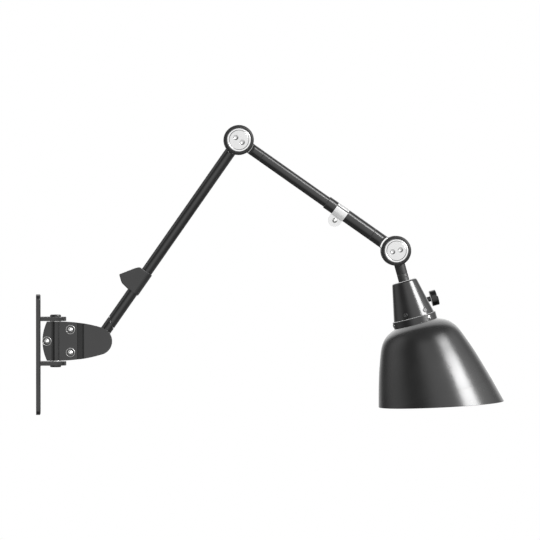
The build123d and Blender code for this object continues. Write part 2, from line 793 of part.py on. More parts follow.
def band_screw():
    face = ear_gap / 2 + band_thickness
    head = Pos(0, 0, face) * dome_head(band_head_diameter / 2, band_head_height, hex_socket_width)
    screw = head + disc(band_screw_diameter / 2, -face - band_nut_height, face)
    return elbow_frame * (Pos(band_place, -ear_reach, 0) * screw)


def band_nut():
    face = ear_gap / 2 + band_thickness
    nut = hexagon(band_nut_width, -face - band_nut_height, -face)
    nut = nut - disc(band_screw_diameter / 2 + running, -2 * band_nut_height, 0)
    return elbow_frame * (Pos(band_place, -ear_reach, 0) * nut)


# ---------------------------------------------------------------- lamp head
def housing_radius(place):
    """Outer radius of the housing's cone at a place along the head's axis."""
    share = (place - housing_start) / housing_length
    return housing_top_radius + share * (housing_bottom_radius - housing_top_radius)


def on_cone(shape, angle):
    """Seat a shape, made on z = 0, on the housing's cone at a housing screw."""
    place = housing_end - housing_screw_place
    return Rot(-angle, 0, 0) * Pos(place, 0, housing_radius(place)) * Rot(0, -housing_slope, 0) * shape


def on_flange(shape, angle):
    """Seat a shape, made on z = 0, on the flange at a flange screw."""
    place = housing_end + flange_length / 2
    return Rot(-angle, 0, 0) * Pos(place, 0, flange_radius) * shape


def neck_collar():
    collar = rod(neck_radius, neck_stub_length, housing_start)
    collar = chamfer(collar.faces().sort_by(Axis.X)[0].edges(), seam_chamfer)
    collar = collar - rod(nipple_radius + running, 0, housing_end)
    hole = disc(set_screw_diameter / 2 + running, -neck_radius, overrun)
    return head_frame * (collar - at_set_screw(hole))


def at_set_screw(shape):
    """Seat a shape, made on z = 0, on the neck collar at its set screw."""
    place = (neck_stub_length + housing_start) / 2
    return Rot(-set_screw_angle, 0, 0) * Pos(place, 0, neck_radius) * shape


def neck_set_screw():
    depth = neck_radius - nipple_radius - running
    screw = disc(set_screw_diameter / 2, -depth, set_screw_stand)
    return head_frame * at_set_screw(screw - hexagon(set_screw_diameter / 2, -depth / 2, overrun))


def threaded_nipple():
    end = holder_start + nipple_embed
    nipple = rod(nipple_radius, neck_stub_length - nipple_embed, end)
    return head_frame * (nipple - rod(nipple_bore / 2, 0, end + overrun))


def nipple_nut():
    nut = hexagon(nipple_nut_width, 0, nipple_nut_height)
    nut = nut - disc(nipple_radius + running, -overrun, 2 * nipple_nut_height)
    return head_frame * (Pos(nipple_nut_start, 0, 0) * Rot(0, 90, 0) * nut)


def lampholder_housing():
    wall = housing_wall / math.cos(math.radians(housing_slope))
    inner_top = housing_start + housing_wall
    body = turned([
        (housing_start, 0), (housing_start, housing_top_radius), (housing_end, housing_bottom_radius),
        (housing_end, 0)])
    top_ring = [edge for edge in body.edges().filter_by(GeomType.CIRCLE)
                if abs(edge.radius - housing_top_radius) < 1e-3]
    body = fillet(top_ring, housing_edge_radius)
    body = body - turned([
        (inner_top, 0), (inner_top, housing_radius(inner_top) - wall),
        (housing_end, housing_bottom_radius - wall), (housing_end, 0)])
    body = body - rod(nipple_radius + running, 0, housing_end)
    body = body - Pos(switch_place, 0, 0) * Rot(-90, 0, 0) * disc(
        knob_hub_radius + running, 0, 2 * housing_bottom_radius)
    hole = disc(housing_screw_shank / 2 + running, -2 * housing_wall, overrun)
    for angle in housing_screw_angles:
        body = body - on_cone(hole, angle)
    return head_frame * body


def housing_screws():
    length = housing_radius(housing_end - housing_screw_place) - flange_spigot_radius() + flange_wall
    head = disc(housing_screw_diameter / 2, 0, housing_screw_head)
    rim = outer_edges(head, housing_screw_head, housing_screw_diameter / 2)
    head = chamfer(rim, housing_screw_edge)
    slot = block((-housing_screw_diameter, housing_screw_diameter), (-slot_width / 2, slot_width / 2),
                 (housing_screw_head / 2, 2 * housing_screw_head))
    screw = head + disc(housing_screw_shank / 2, -length, 0) - slot
    return head_frame * together([on_cone(screw, angle) for angle in housing_screw_angles])


def flange_spigot_radius():
    """Outer radius of the ring inside the housing, where the cone is narrowest over it."""
    wall = housing_wall / math.cos(math.radians(housing_slope))
    return housing_radius(housing_end - flange_spigot_length) - wall - fitting


def shade_flange():
    top = housing_end + fitting
    web_end = top + flange_web
    spigot_start = housing_end - flange_spigot_length
    flange = turned([
        (spigot_start, flange_bore), (spigot_start, flange_spigot_radius()),
        (top, flange_spigot_radius()), (top, flange_radius), (flange_end, flange_radius),
        (flange_end, flange_radius - flange_wall), (web_end, flange_radius - flange_wall),
        (web_end, flange_bore)])
    flange_hole = disc(flange_screw_shank / 2 + running, -flange_radius / 2, overrun)
    for angle in flange_screw_angles:
        flange = flange - on_flange(flange_hole, angle)
    housing_hole = disc(housing_screw_shank / 2 + running, -flange_bore / 2, 0)
    for angle in housing_screw_angles:
        flange = flange - on_cone(housing_hole, angle)
    return head_frame * flange


def flange_screws():
    radius = flange_screw_diameter / 2
    length = flange_wall + shade_neck_wall + fitting
    head = dome_cap(radius, flange_screw_head) - disc(
        flange_screw_socket / 2, flange_screw_head / 3, 2 * flange_screw_head)
    screw = head + disc(flange_screw_shank / 2, -length, 0)
    return head_frame * together([on_flange(screw, angle) for angle in flange_screw_angles])


def shade_profile(inset):
    """Outer curve of the shade, or the curve this far inside it."""
    start = flange_end + fitting
    points = [(start, shade_start_radius)] + [(start + run, radius) for run, radius in shade_curve]
    slopes = [math.radians(shade_start_slope), math.radians(shade_end_slope)]
    tangents = [(math.cos(slope), math.sin(slope)) for slope in slopes]
    outer = Spline(*points, tangents=tangents)
    if inset == 0:
        return outer
    moved = []
    for point in points:
        along = outer.tangent_at(outer.param_at_point(point))
        moved.append((point[0] + inset * along.Y, point[1] - inset * along.X))
    return Spline(*moved, tangents=tangents)


def shade():
    outer = shade_profile(0)
    inner = shade_profile(shade_wall)
    neck_start = housing_end + flange_web + 2 * fitting
    seat = flange_end + fitting
    neck_inner = shade_neck_radius - shade_neck_wall
    outline = Curve() + [
        outer,
        Line(outer @ 1, inner @ 1),
        inner,
        Line(inner @ 0, ((inner @ 0).X, neck_inner)),
        Line(((inner @ 0).X, neck_inner), (neck_start, neck_inner)),
        Line((neck_start, neck_inner), (neck_start, shade_neck_radius)),
        Line((neck_start, shade_neck_radius), (seat, shade_neck_radius)),
        Line((seat, shade_neck_radius), outer @ 0),
    ]
    shell = revolve(make_face(outline), Axis.X, 360)
    size = 2 * shade_rim_place
    shell = shell - Pos(shade_rim_place, 0, 0) * Rot(0, 0, -shade_rim_slant) * block(
        (0, size), (-size, size), (-size, size))
    hole = disc(flange_screw_shank / 2 + running, -flange_radius / 2, overrun)
    for angle in flange_screw_angles:
        shell = shell - on_flange(hole, angle)
    return head_frame * shell


def lampholder_body():
    shoulder = holder_start + holder_shoulder
    taper_start = holder_socket_start - holder_taper_back
    bore = socket_radius + shell_wall + running
    body = turned([
        (holder_start, 0), (holder_start, holder_top_radius), (shoulder, holder_top_radius),
        (shoulder, holder_switch_radius), (taper_start, holder_switch_radius),
        (taper_start + holder_taper_length, holder_socket_radius), (holder_end, holder_socket_radius),
        (holder_end, bore), (holder_socket_start, bore), (holder_socket_start, 0)])
    body = body - rod(nipple_radius + running, 0, holder_start + nipple_embed)
    floor = holder_switch_radius - switch_body_depth
    pocket = disc(switch_body_radius + fitting, floor, 2 * holder_switch_radius)
    return head_frame * (body - at_switch(pocket))


def socket_shell():
    start = holder_socket_start + shell_end_gap
    shell = rod(socket_radius + shell_wall, start, holder_end - shell_end_gap)
    return head_frame * (shell - rod(socket_radius, 0, holder_end))


def centre_contact():
    plate = rod(contact_radius, holder_socket_start, holder_socket_start + contact_thickness)
    button = Pos(holder_socket_start + contact_thickness, 0, 0) * Rot(0, 90, 0) * dome_cap(
        contact_radius / 2, contact_thickness)
    return head_frame * (plate + button)


def at_switch(shape):
    """Place a shape, made along z from the head's axis, along the switch's axis."""
    return Pos(switch_place, 0, 0) * Rot(-90, 0, 0) * shape


def switch_body():
    floor = holder_switch_radius - switch_body_depth + fitting
    return head_frame * at_switch(disc(switch_body_radius, floor, holder_switch_radius - fitting))


def switch_shaft():
    end = knob_head_inner + knob_head_thickness / 2
    return head_frame * at_switch(disc(switch_shaft_radius, holder_switch_radius, end))


def switch_knob():
    end = knob_head_inner + knob_head_thickness
    size = 2 * knob_head_radius
    low = rounded_disc(knob_head_radius, knob_head_inner, end, knob_edge_radius)
    tall = rounded_disc(knob_head_radius, knob_head_inner, end + knob_step, knob_edge_radius)
    knob = low + (tall & block((knob_step_place, size), (-size, size), (0, 3 * size)))
    knob = knob + disc(knob_hub_radius, knob_hub_inner, knob_head_inner)
    knob = knob - disc(switch_shaft_radius + running, 0, knob_head_inner + knob_head_thickness / 2 + running)
    return head_frame * at_switch(knob)


# ---------------------------------------------------------------- nodes
def all_nodes():
    """Every node's name and solids."""
    lower_lug_bottom = lower_lug_top - lug_thickness
    nodes = {
        "wall_plate": wall_plate(),
        "hinge_lug_upper": hinge_lug(upper_lug_bottom, pin_radius + running),
        "hinge_lug_lower": hinge_lug(lower_lug_bottom, cap_nut_barrel_diameter / 2),
        "swivel_pin": swivel_pin(),
        "swivel_cap_nut": swivel_cap_nut(),
        "swivel_washers": swivel_washers(),
        "wing_plate_front": wing_plate_front(),
        "wing_plate_rear": wing_plate_rear(),
        "clamp_screws": clamp_screws(),
        "clamp_washers": clamp_washers(),
        "clamp_nuts": clamp_nuts(),
        "tilt_pin": tilt_pin(),
        "friction_pads": friction_pads(),
        "lower_arm_root": lower_arm_root(),
        "lower_arm_tube": lower_arm_tube(),
        "arm_grip": arm_grip(),
        "grip_screw": grip_screw(),
        "cable_grommet": cable_grommet(),
        "elbow_front_cup": elbow_front_cup(),
        "elbow_front_cap": elbow_frame * spanner_cap(elbow_dimple_angle - upper_arm_angle),
        "elbow_rear_cup": elbow_rear_cup(),
        "elbow_rear_cap": elbow_frame * rear(spanner_cap(elbow_dimple_angle)),
        "elbow_bolt": elbow_frame * pivot_bolt(),
        "elbow_springs": elbow_frame * disc_springs(),
        "elbow_nut": elbow_frame * pivot_nut(),
        "elbow_friction_disc": elbow_frame * friction_disc(elbow_cope_gap, upper_tube_diameter),
        "upper_arm_tube": upper_arm_tube(),
        "upper_arm_sleeve": upper_arm_sleeve(),
        "clamp_band": clamp_band(),
        "band_screw": band_screw(),
        "band_nut": band_nut(),
        "head_rear_cup": head_rear_cup(),
        "head_rear_cap": head_back_frame * rear(spanner_cap(head_dimple_angle)),
        "head_bolt": head_back_frame * pivot_bolt(),
        "head_springs": head_back_frame * disc_springs(),
        "head_nut": head_back_frame * pivot_nut(),
        "head_friction_disc": head_back_frame * friction_disc(head_cope_gap, sleeve_diameter),
        "head_front_cup": head_front_cup(),
        "head_front_cap": head_frame * spanner_cap(head_dimple_angle + 90 - head_lean),
        "neck_collar": neck_collar(),
        "neck_set_screw": neck_set_screw(),
        "threaded_nipple": threaded_nipple(),
        "nipple_nut": nipple_nut(),
        "lampholder_housing": lampholder_housing(),
        "housing_screws": housing_screws(),
        "shade_flange": shade_flange(),
        "flange_screws": flange_screws(),
        "shade": shade(),
        "lampholder_body": lampholder_body(),
        "socket_shell": socket_shell(),
        "centre_contact": centre_contact(),
        "switch_body": switch_body(),
        "switch_shaft": switch_shaft(),
        "switch_knob": switch_knob(),
    }
    return nodes


os.makedirs("parts", exist_ok=True)
for name, shape in all_nodes().items():
    export_step(shape, f"parts/{name}.step")
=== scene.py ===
import json
import math

import bpy
import numpy as np
from bpy.props import FloatProperty, FloatVectorProperty, IntProperty, PointerProperty
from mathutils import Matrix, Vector


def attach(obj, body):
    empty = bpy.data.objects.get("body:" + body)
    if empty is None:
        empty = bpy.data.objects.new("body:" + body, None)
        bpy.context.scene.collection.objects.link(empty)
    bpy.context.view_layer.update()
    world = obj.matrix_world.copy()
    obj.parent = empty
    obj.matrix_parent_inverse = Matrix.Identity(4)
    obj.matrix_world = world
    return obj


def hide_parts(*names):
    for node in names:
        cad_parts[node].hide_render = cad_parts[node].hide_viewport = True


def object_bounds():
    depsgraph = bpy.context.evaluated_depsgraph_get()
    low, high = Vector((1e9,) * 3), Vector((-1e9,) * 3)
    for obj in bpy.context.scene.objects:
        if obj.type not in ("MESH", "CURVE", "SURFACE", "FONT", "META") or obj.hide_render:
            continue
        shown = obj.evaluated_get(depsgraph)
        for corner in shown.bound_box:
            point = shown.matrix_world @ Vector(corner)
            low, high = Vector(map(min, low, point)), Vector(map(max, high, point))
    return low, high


# Articulating wall lamp: finishes, formed details and studio, built on the loaded frame.
# Metres, +Z up, +X away from the wall; the front, with the bright joint caps, faces -Y.

bl_info = {
    "name": "Articulating wall lamp",
    "version": (1, 0, 0),
    "blender": (4, 5, 0),
    "location": "3D View > Sidebar > Wall lamp",
    "description": "Finishes, formed details and studio of a jointed wall lamp",
    "category": "Object",
}

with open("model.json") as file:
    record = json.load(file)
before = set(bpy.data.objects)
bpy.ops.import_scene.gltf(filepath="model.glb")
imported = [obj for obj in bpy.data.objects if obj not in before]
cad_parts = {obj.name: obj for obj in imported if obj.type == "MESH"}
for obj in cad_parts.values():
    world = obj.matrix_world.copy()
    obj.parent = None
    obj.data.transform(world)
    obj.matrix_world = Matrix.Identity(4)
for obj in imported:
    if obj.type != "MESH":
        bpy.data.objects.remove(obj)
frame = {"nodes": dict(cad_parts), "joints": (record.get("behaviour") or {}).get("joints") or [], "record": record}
cad_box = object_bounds()

MILLIMETRE = 0.001

joints = {joint["name"]: joint for joint in frame["joints"]}
mounts = {mount["name"]: mount for mount in frame["record"]["mounts"]}
slot_of_node = {part["node"]: part["material_slot"] for part in frame["record"]["subparts"]}

elbow_place = Vector(joints["elbow"]["pos_m"])
head_place = Vector(joints["head_tilt"]["pos_m"])
head_along = Vector(mounts["lamp_socket"]["axis"]).normalized()
head_across = Vector((-head_along.z, 0.0, head_along.x))
front = Vector((0.0, -1.0, 0.0))

# Outer curve of the shade, as (place along the head's axis, radius) in millimetres, from the flange down.
SHADE_CURVE = (
    (96.3, 27.4), (99.9, 36.0), (105.9, 44.1), (113.9, 49.8),
    (127.9, 55.7), (148.2, 62.8), (186.3, 73.7), (226.3, 83.5))
SHADE_START_SLOPE = 68.0         # of the curve to the head's axis, in degrees
SHADE_END_SLOPE = 13.6
SHADE_WALL = 1.2
SHADE_RIM_PLACE = 202.6          # where the rim's plane cuts the head's axis
SHADE_RIM_SLANT = 12.45          # of the rim's plane, from square to the axis, in degrees

# Formed details, in millimetres.
LINING_GAP = 0.1                 # between the lining and the shade's wall
BEAD_HANG = 0.35                 # how far the rim bead reaches past the rim's plane
SHELL_SHEET = 0.35               # thickness of the lampholder's screw shell

# How finely the pieces are divided.
CURVE_SAMPLES = 60               # between two points of the shade's curve
LINING_START = 8                 # the lining's first row, in samples of the shade's curve
LINING_STEP = 12                 # between two of its rows
BEAD_FACES = 16                  # round the bead's own section
SHELL_ROWS = 97
RIM_PASSES = 12                  # that close in on the rim's plane

# Faces of the pieces that are finished in more than one way or carry painted light and shade, in millimetres.
CLAMP_PLACES = ((-11.1, 0.0), (18.7, -14.5), (18.7, 14.5))   # right of and above the swivel axis
CLAMP_DISH_RADIUS = 5.2
CLAMP_RIM_FADE = 0.15
CAP_GROOVE_MIDDLE = 12.45        # radius
CAP_GROOVE_HALF = 0.6            # half of its width
DIMPLE_PLACE = 5.1               # from the joint's axis
DIMPLE_RADIUS = 3.3
ELBOW_DIMPLE_ANGLE = -36.6       # of the line through both dimples, above level, in degrees
HEAD_DIMPLE_ANGLE = 13.5
FLANGE_EDGE_PLACE = 87.1         # along the head's axis
COLLAR_EDGE_PLACE = 30.6
EDGE_HIGHLIGHT_FULL = 0.25                 # painted highlight at full strength this far past the edge
EDGE_HIGHLIGHT_GONE = 0.7               # and gone from here on, leaving plain black paint
BAND_SEAM_RISE = 4.3             # above the arm's middle, square to it
BAND_SEAM_HALF = 0.85            # half of its dark width
BAND_SEAM_END = 1.2              # half of its width with its soft edges

# Zones of a dimple, as shares of its radius: a painted shadow lies on the wall from its foot up, but only low
# down.
DIMPLE_BRINK = 0.97
DIMPLE_WALL = (0.4, 0.65)
DIMPLE_LOW = (0.45, 0.05)

# Tones of a piece's zones, as factors on its own colour.
PAINT_TONES = (0.9, 1.12)
PLATING_TONES = (0.93, 1.05)
CAP_TONES = (0.98, 1.02)
# Painted shade in the cap's groove.
CAP_GROOVE_SHADE_TONE = 0.55
CAP_BROW_HIGHLIGHT_TONE = 1.2              # painted highlight on the ring outside the groove
# Painted highlight that lightens the dimples, and the painted shadow low on their walls.
DIMPLE_HIGHLIGHT_TONE = 1.5
DIMPLE_SHADOW_TONE = 0.35
BAND_TONES = (0.97, 1.02)
BAND_SEAM_TONE = 0.25
DISH_TONES = (0.9, 1.15)
PLASTIC_TONES = (0.92, 1.08)

# How metallic and how rough those zones are.
PAINT_IOR = 1.5
PLASTIC_IOR = 1.48
PAINT_DRIFT = 0.025              # roughness either way of the middle one
PLATING_DRIFT = 0.06
CAP_DRIFT = 0.03
BAND_DRIFT = 0.05
DISH_DRIFT = 0.05
PLASTIC_DRIFT = 0.03
DIMPLE_METALLIC = 0.4
DIMPLE_ROUGHNESS = 0.5
BAND_METALLIC = 0.25
BAND_SEAM_ROUGHNESS = 0.7        # added at the seam
GLANCE = (0.45, 0.85)            # share of facing away where paint begins to dull, and is dullest

# Grains of the finishes, and how high they stand, in metres.
PAINT_CLOUDS = 0.03
PAINT_PEEL = 0.0011
PAINT_PEEL_HEIGHT = 0.000002
PLATING_CLOUDS = 0.004
PLATING_GRAIN = 0.0008
PLATING_GRAIN_HEIGHT = 0.000005
CAP_CLOUDS = 0.009
CAP_GROOVE_DEPTH = 0.00022
BAND_CLOUDS = 0.008
BAND_SEAM_DEPTH = 0.0001
DISH_CLOUDS = 0.003
DISH_CLOUD_HEIGHT = 0.000004
PLASTIC_CLOUDS = 0.012
METAL_EDGE = 0.0002              # radius over which an edge of metal is softened
PAINTED_EDGE = 0.0006
HIGHLIT_EDGE_ROUNDING = 0.0005
PLASTIC_EDGE = 0.0004
LATHE_RINGS = 2600.0             # to the metre
ROLLING_LINES = 2100.0

# Blender's noise keeps mostly between these values, and an edge takes this many samples to soften.
NOISE_LOW, NOISE_HIGH = 0.3, 0.7
NOISE_DETAIL = 3.0
SMOOTH_DETAIL = 2.0
EDGE_SAMPLES = 6

# Camera and floor.
SENSOR_WIDTH = 36.0              # millimetres
FLOOR_MIDDLE = 0.3               # metres from the wall
FLOOR_RADIUS = 0.9
FLOOR_HEIGHT = -0.6
FLOOR_CORNERS = 96
FLOOR_COLOUR = (0.8, 0.8, 0.8)
FLOOR_TONES = (1.0, 1.05)
FLOOR_CLOUDS = 0.2
FLOOR_ROUGHNESS = 0.9

# The window beside the camera: a tall pane and a dimmer one over it, as (name, degrees above level,
# height in metres, share of the window's level).
WINDOW_AZIMUTH = 57.5
WINDOW_DISTANCE = 8.0
WINDOW_WIDTH = 4.0
WINDOW_PANES = (("window", 27.3, 3.85, 1.0), ("window_head", 47.0, 1.7, 0.2))

# Brightness of the room in gloss, as (degrees to the right of the camera's side, level): pale walls
# with dark screens between them, first as high as the lamp and then below it.
ROOM_WALLS = (
    (-180, 1.6), (-165, 1.5), (-152, 0.95), (-145, 0.42), (-138, 0.2), (-130, 0.14), (-120, 0.34),
    (-110, 0.74), (-100, 0.98), (-90, 1.02), (-80, 0.88), (-70, 0.52), (-60, 0.18), (-50, 0.13),
    (-40, 0.17), (-30, 0.46), (-20, 1.0), (-10, 1.4), (0, 1.55), (20, 1.65), (95, 1.7),
    (110, 1.25), (120, 0.75), (130, 0.45), (140, 0.45), (150, 1.2), (160, 1.55), (180, 1.6))
ROOM_FOOT = (
    (-180, 0.5), (-160, 0.2), (-150, 0.07), (-136, 0.03), (-122, 0.16), (-112, 0.28), (-90, 0.32),
    (-70, 0.13), (-60, 0.03), (-45, 0.05), (-30, 0.25), (-20, 0.8), (-8, 1.25), (8, 1.3),
    (25, 0.6), (60, 0.22), (80, 0.3), (100, 0.36), (125, 0.4), (160, 0.5), (180, 0.5))
ROOM_CEILING = 0.3
ROOM_PIT = 0.12
# Elevations in degrees over which one part of the room passes into the next.
PIT_TO_FOOT = (-58, -44)
FOOT_TO_WALLS = (-30, 25)
WALLS_TO_CEILING = (36, 54)
RAMP_TOP = 2.0                   # a colour ramp holds the levels as shares of this one

# A bright patch of wall high behind the lamp, which shines along the shade's shoulder: full as far as
# its inner edge and gone at its outer one, in degrees from its middle.
BACK_PATCH = {"azimuth": 180, "elevation": 36, "level": 1.75, "inner": 24, "outer": 36}


# ---------------------------------------------------------------- sizes and colours a user may change
class LampDetails(bpy.types.PropertyGroup):
    """Sizes of the formed details."""

    lining_thickness: FloatProperty(
        name="Lining thickness", description="Coat of enamel inside the shade",
        default=0.00015, min=0.00005, max=0.0005, unit="LENGTH", precision=5)
    bead_radius: FloatProperty(
        name="Rim bead radius", description="Radius of the rolled edge round the shade's rim",
        default=0.0007, min=0.0004, max=0.0009, unit="LENGTH", precision=5)
    thread_pitch: FloatProperty(
        name="Thread pitch", description="Pitch of the rolled thread in the lampholder",
        default=0.003629, min=0.002, max=0.005, unit="LENGTH", precision=6)
    thread_depth: FloatProperty(
        name="Thread depth", description="Crest to root of the rolled thread",
        default=0.0007, min=0.0002, max=0.0009, unit="LENGTH", precision=5)
    columns: IntProperty(
        name="Columns", description="Columns of faces round each turned piece",
        default=144, min=24, max=360)


class LampFinishes(bpy.types.PropertyGroup):
    """Colours and roughness of the finishes."""

    paint: FloatVectorProperty(
        name="Paint", description="Satin black paint of the arms, wing and shade",
        subtype="COLOR", size=3, min=0, max=1, default=(0.019, 0.019, 0.0192))
    paint_roughness: FloatProperty(
        name="Paint roughness", description="Middle roughness of the paint",
        subtype="FACTOR", default=0.25, min=0, max=1)
    nickel: FloatVectorProperty(
        name="Nickel", description="Satin plating of the joint caps and the band",
        subtype="COLOR", size=3, min=0, max=1, default=(0.56, 0.56, 0.56))
    zinc: FloatVectorProperty(
        name="Zinc", description="Plating of the screws and nuts",
        subtype="COLOR", size=3, min=0, max=1, default=(0.78, 0.78, 0.77))
    knob: FloatVectorProperty(
        name="Knob", description="Gloss black plastic of the switch",
        subtype="COLOR", size=3, min=0, max=1, default=(0.004, 0.004, 0.004))
    enamel: FloatVectorProperty(
        name="Enamel", description="White lining of the shade",
        subtype="COLOR", size=3, min=0, max=1, default=(0.82, 0.82, 0.8))


class LampStudio(bpy.types.PropertyGroup):
    """Camera and light."""

    camera_place: FloatVectorProperty(
        name="Camera place", description="Where the camera stands",
        subtype="TRANSLATION", size=3, unit="LENGTH", default=(0.056, -5.0961, 0.1956))
    camera_turn: FloatProperty(
        name="Camera turn", description="Turn of the view away from the wall",
        subtype="ANGLE", default=math.radians(2.702))
    camera_dip: FloatProperty(
        name="Camera dip", description="Dip of the view below level",
        subtype="ANGLE", default=math.radians(0.997))
    lens: FloatProperty(
        name="Lens", description="Focal length in millimetres, on a 36 mm wide picture",
        default=267.94, min=50, max=500)
    room_level: FloatProperty(
        name="Room level", description="Light that reaches dull surfaces from the room",
        default=0.9, min=0, max=3)
    window_level: FloatProperty(
        name="Window level", description="Brightness of the tall window that shines on the right flanks",
        default=25.0, min=0, max=60)


# ---------------------------------------------------------------- surfaces worked out on a grid
def grid_piece(name, points, body):
    """A smooth mesh of quads on a grid of points (rows, columns, 3), closed on itself both ways."""
    rows, columns = points.shape[:2]
    number = np.arange(rows * columns).reshape(rows, columns)
    number = np.vstack([number, number[:1]])
    number = np.hstack([number, number[:, :1]])
    quads = np.stack([number[:-1, :-1], number[1:, :-1], number[1:, 1:], number[:-1, 1:]], axis=-1)
    mesh = bpy.data.meshes.new(name)
    mesh.from_pydata(points.reshape(-1, 3).tolist(), [], quads.reshape(-1, 4).tolist())
    mesh.shade_smooth()
    mesh.validate()
    piece = bpy.data.objects.new(name, mesh)
    bpy.context.scene.collection.objects.link(piece)
    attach(piece, body)
    return piece


def turns(columns):
    """Angles once round, one for each column."""
    return np.linspace(0, 2 * math.pi, columns, endpoint=False)


def on_head(place, radius, turn):
    """Points on the head: its origin + place along + radius (cos(turn) across + sin(turn) front)."""
    place, radius, turn = np.broadcast_arrays(place, radius, turn)
    along = np.multiply.outer(place, np.array(head_along))
    across = np.multiply.outer(radius * np.cos(turn), np.array(head_across))
    forward = np.multiply.outer(radius * np.sin(turn), np.array(front))
    return np.array(head_place) + along + across + forward


def shade_profile(inset):
    """Places and radii of the shade's outer curve, moved inwards by inset.

    The curve is the smooth cubic through the points of SHADE_CURVE, with chord lengths as its
    parameter and set slopes at both ends. Its points move inwards along the curve's normal.
    """
    points = np.array(SHADE_CURVE) * MILLIMETRE
    chords = np.hypot(*np.diff(points, axis=0).T)
    knots = np.concatenate([[0], np.cumsum(chords)])
    ends = np.radians([SHADE_START_SLOPE, SHADE_END_SLOPE])
    count = len(knots)
    system = np.eye(count)
    wanted = np.zeros((count, 2))
    wanted[[0, -1]] = np.column_stack([np.cos(ends), np.sin(ends)])
    slopes = np.diff(points, axis=0) / chords[:, None]
    inner = np.arange(1, count - 1)
    system[inner, inner - 1] = chords[1:]
    system[inner, inner] = 2 * (chords[:-1] + chords[1:])
    system[inner, inner + 1] = chords[:-1]
    wanted[1:-1] = 3 * (chords[1:, None] * slopes[:-1] + chords[:-1, None] * slopes[1:])
    tangents = np.linalg.solve(system, wanted)
    at = np.linspace(0, knots[-1], CURVE_SAMPLES * (count - 1) + 1)
    span = np.clip(np.searchsorted(knots, at, side="right") - 1, 0, count - 2)
    length = chords[span][:, None]
    t = (at[:, None] - knots[span][:, None]) / length
    first, last = points[span], points[span + 1]
    first_tangent, last_tangent = tangents[span] * length, tangents[span + 1] * length
    curve = (
        (2 * t**3 - 3 * t**2 + 1) * first + (t**3 - 2 * t**2 + t) * first_tangent
        + (3 * t**2 - 2 * t**3) * last + (t**3 - t**2) * last_tangent)
    direction = np.gradient(curve, axis=0)
    direction /= np.hypot(*direction.T)[:, None]
    return curve[:, 0] + inset * direction[:, 1], curve[:, 1] - inset * direction[:, 0]


def rim_places(profile, turn):
    """Where the rim's plane cuts a profile at each turn: place = rim + tan(slant) radius cos(turn)."""
    places = np.full_like(turn, SHADE_RIM_PLACE * MILLIMETRE)
    lean = math.tan(math.radians(SHADE_RIM_SLANT))
    for _ in range(RIM_PASSES):
        radius = np.interp(places, *profile)
        places = SHADE_RIM_PLACE * MILLIMETRE + lean * radius * np.cos(turn)
    return places

# ---------------------------------------------------------------- shader building
def add_node(tree, kind, inputs=None, **settings):
    """Add a shader node; each input is a plain value or another node's output."""
    made = tree.nodes.new(kind)
    for name, value in settings.items():
        setattr(made, name, value)
    for name, value in (inputs or {}).items():
        if isinstance(value, bpy.types.NodeSocket):
            tree.links.new(value, made.inputs[name])
        else:
            made.inputs[name].default_value = value
    return made


def new_finish(name, sockets):
    """A material of one shader, with its plain values set on the shader's own sockets."""
    material = bpy.data.materials.new(name)
    material.use_nodes = True
    tree = material.node_tree
    tree.nodes.clear()
    output = tree.nodes.new("ShaderNodeOutputMaterial")
    shader = tree.nodes.new("ShaderNodeBsdfPrincipled")
    tree.links.new(shader.outputs["BSDF"], output.inputs["Surface"])
    for socket, value in sockets.items():
        shader.inputs[socket].default_value = value
    return material, tree, shader


def object_place(tree):
    """The point on the piece, in metres."""
    return add_node(tree, "ShaderNodeTexCoord").outputs["Object"]


def calc(tree, operation, *values):
    """One sum on plain numbers and other nodes' outputs."""
    return add_node(tree, "ShaderNodeMath", dict(enumerate(values)), operation=operation).outputs[0]


def vector_calc(tree, operation, *values):
    """One sum on vectors; a length or a dot product comes out as a plain number."""
    made = add_node(tree, "ShaderNodeVectorMath", dict(enumerate(values)), operation=operation)
    return made.outputs["Value" if operation in ("LENGTH", "DOT_PRODUCT") else "Vector"]


def speckle(tree, place, size, detail=NOISE_DETAIL):
    """Soft noise from 0 to 1 whose grains are about this many metres across."""
    noise = add_node(tree, "ShaderNodeTexNoise", {"Vector": place, "Scale": 1 / size, "Detail": detail})
    return noise.outputs["Fac"]


def fine_lines(tree, distance, to_the_metre, detail):
    """Soft noise from 0 to 1 that changes with one distance alone."""
    noise = add_node(
        tree, "ShaderNodeTexNoise", {"W": distance, "Scale": to_the_metre, "Detail": detail},
        noise_dimensions="1D")
    return noise.outputs["Fac"]


def spread(tree, noise, middle, drift):
    """Stretch a noise value over a range, this far either way of its middle."""
    ranged = add_node(tree, "ShaderNodeMapRange", {
        "Value": noise, "From Min": NOISE_LOW, "From Max": NOISE_HIGH,
        "To Min": middle - drift, "To Max": middle + drift})
    return ranged.outputs["Result"]


def shade_of(colour, factor):
    """A colour made lighter or darker."""
    return tuple(min(1.0, channel * factor) for channel in colour)


def drifting(tree, noise, colour, tones):
    """A colour that drifts with a noise value, between a darker and a lighter tone of it."""
    ramp = add_node(tree, "ShaderNodeValToRGB", {"Fac": noise})
    for element, position, tone in zip(ramp.color_ramp.elements, (NOISE_LOW, NOISE_HIGH), tones):
        element.position = position
        element.color = (*shade_of(colour, tone), 1)
    return ramp.outputs["Color"]


def between(tree, value, low, high, at_low=0.0, at_high=1.0):
    """From one level at a low value to another at a high one, smoothly."""
    share = add_node(
        tree, "ShaderNodeMapRange", {
            "Value": value, "From Min": low, "From Max": high, "To Min": at_low, "To Max": at_high},
        interpolation_type="SMOOTHSTEP")
    return share.outputs["Result"]


def blend(tree, share, first, second):
    """One number where the share is 0 and another where it is 1."""
    mix = add_node(tree, "ShaderNodeMix", {"Factor": share, "A": first, "B": second}, data_type="FLOAT")
    return mix.outputs["Result"]


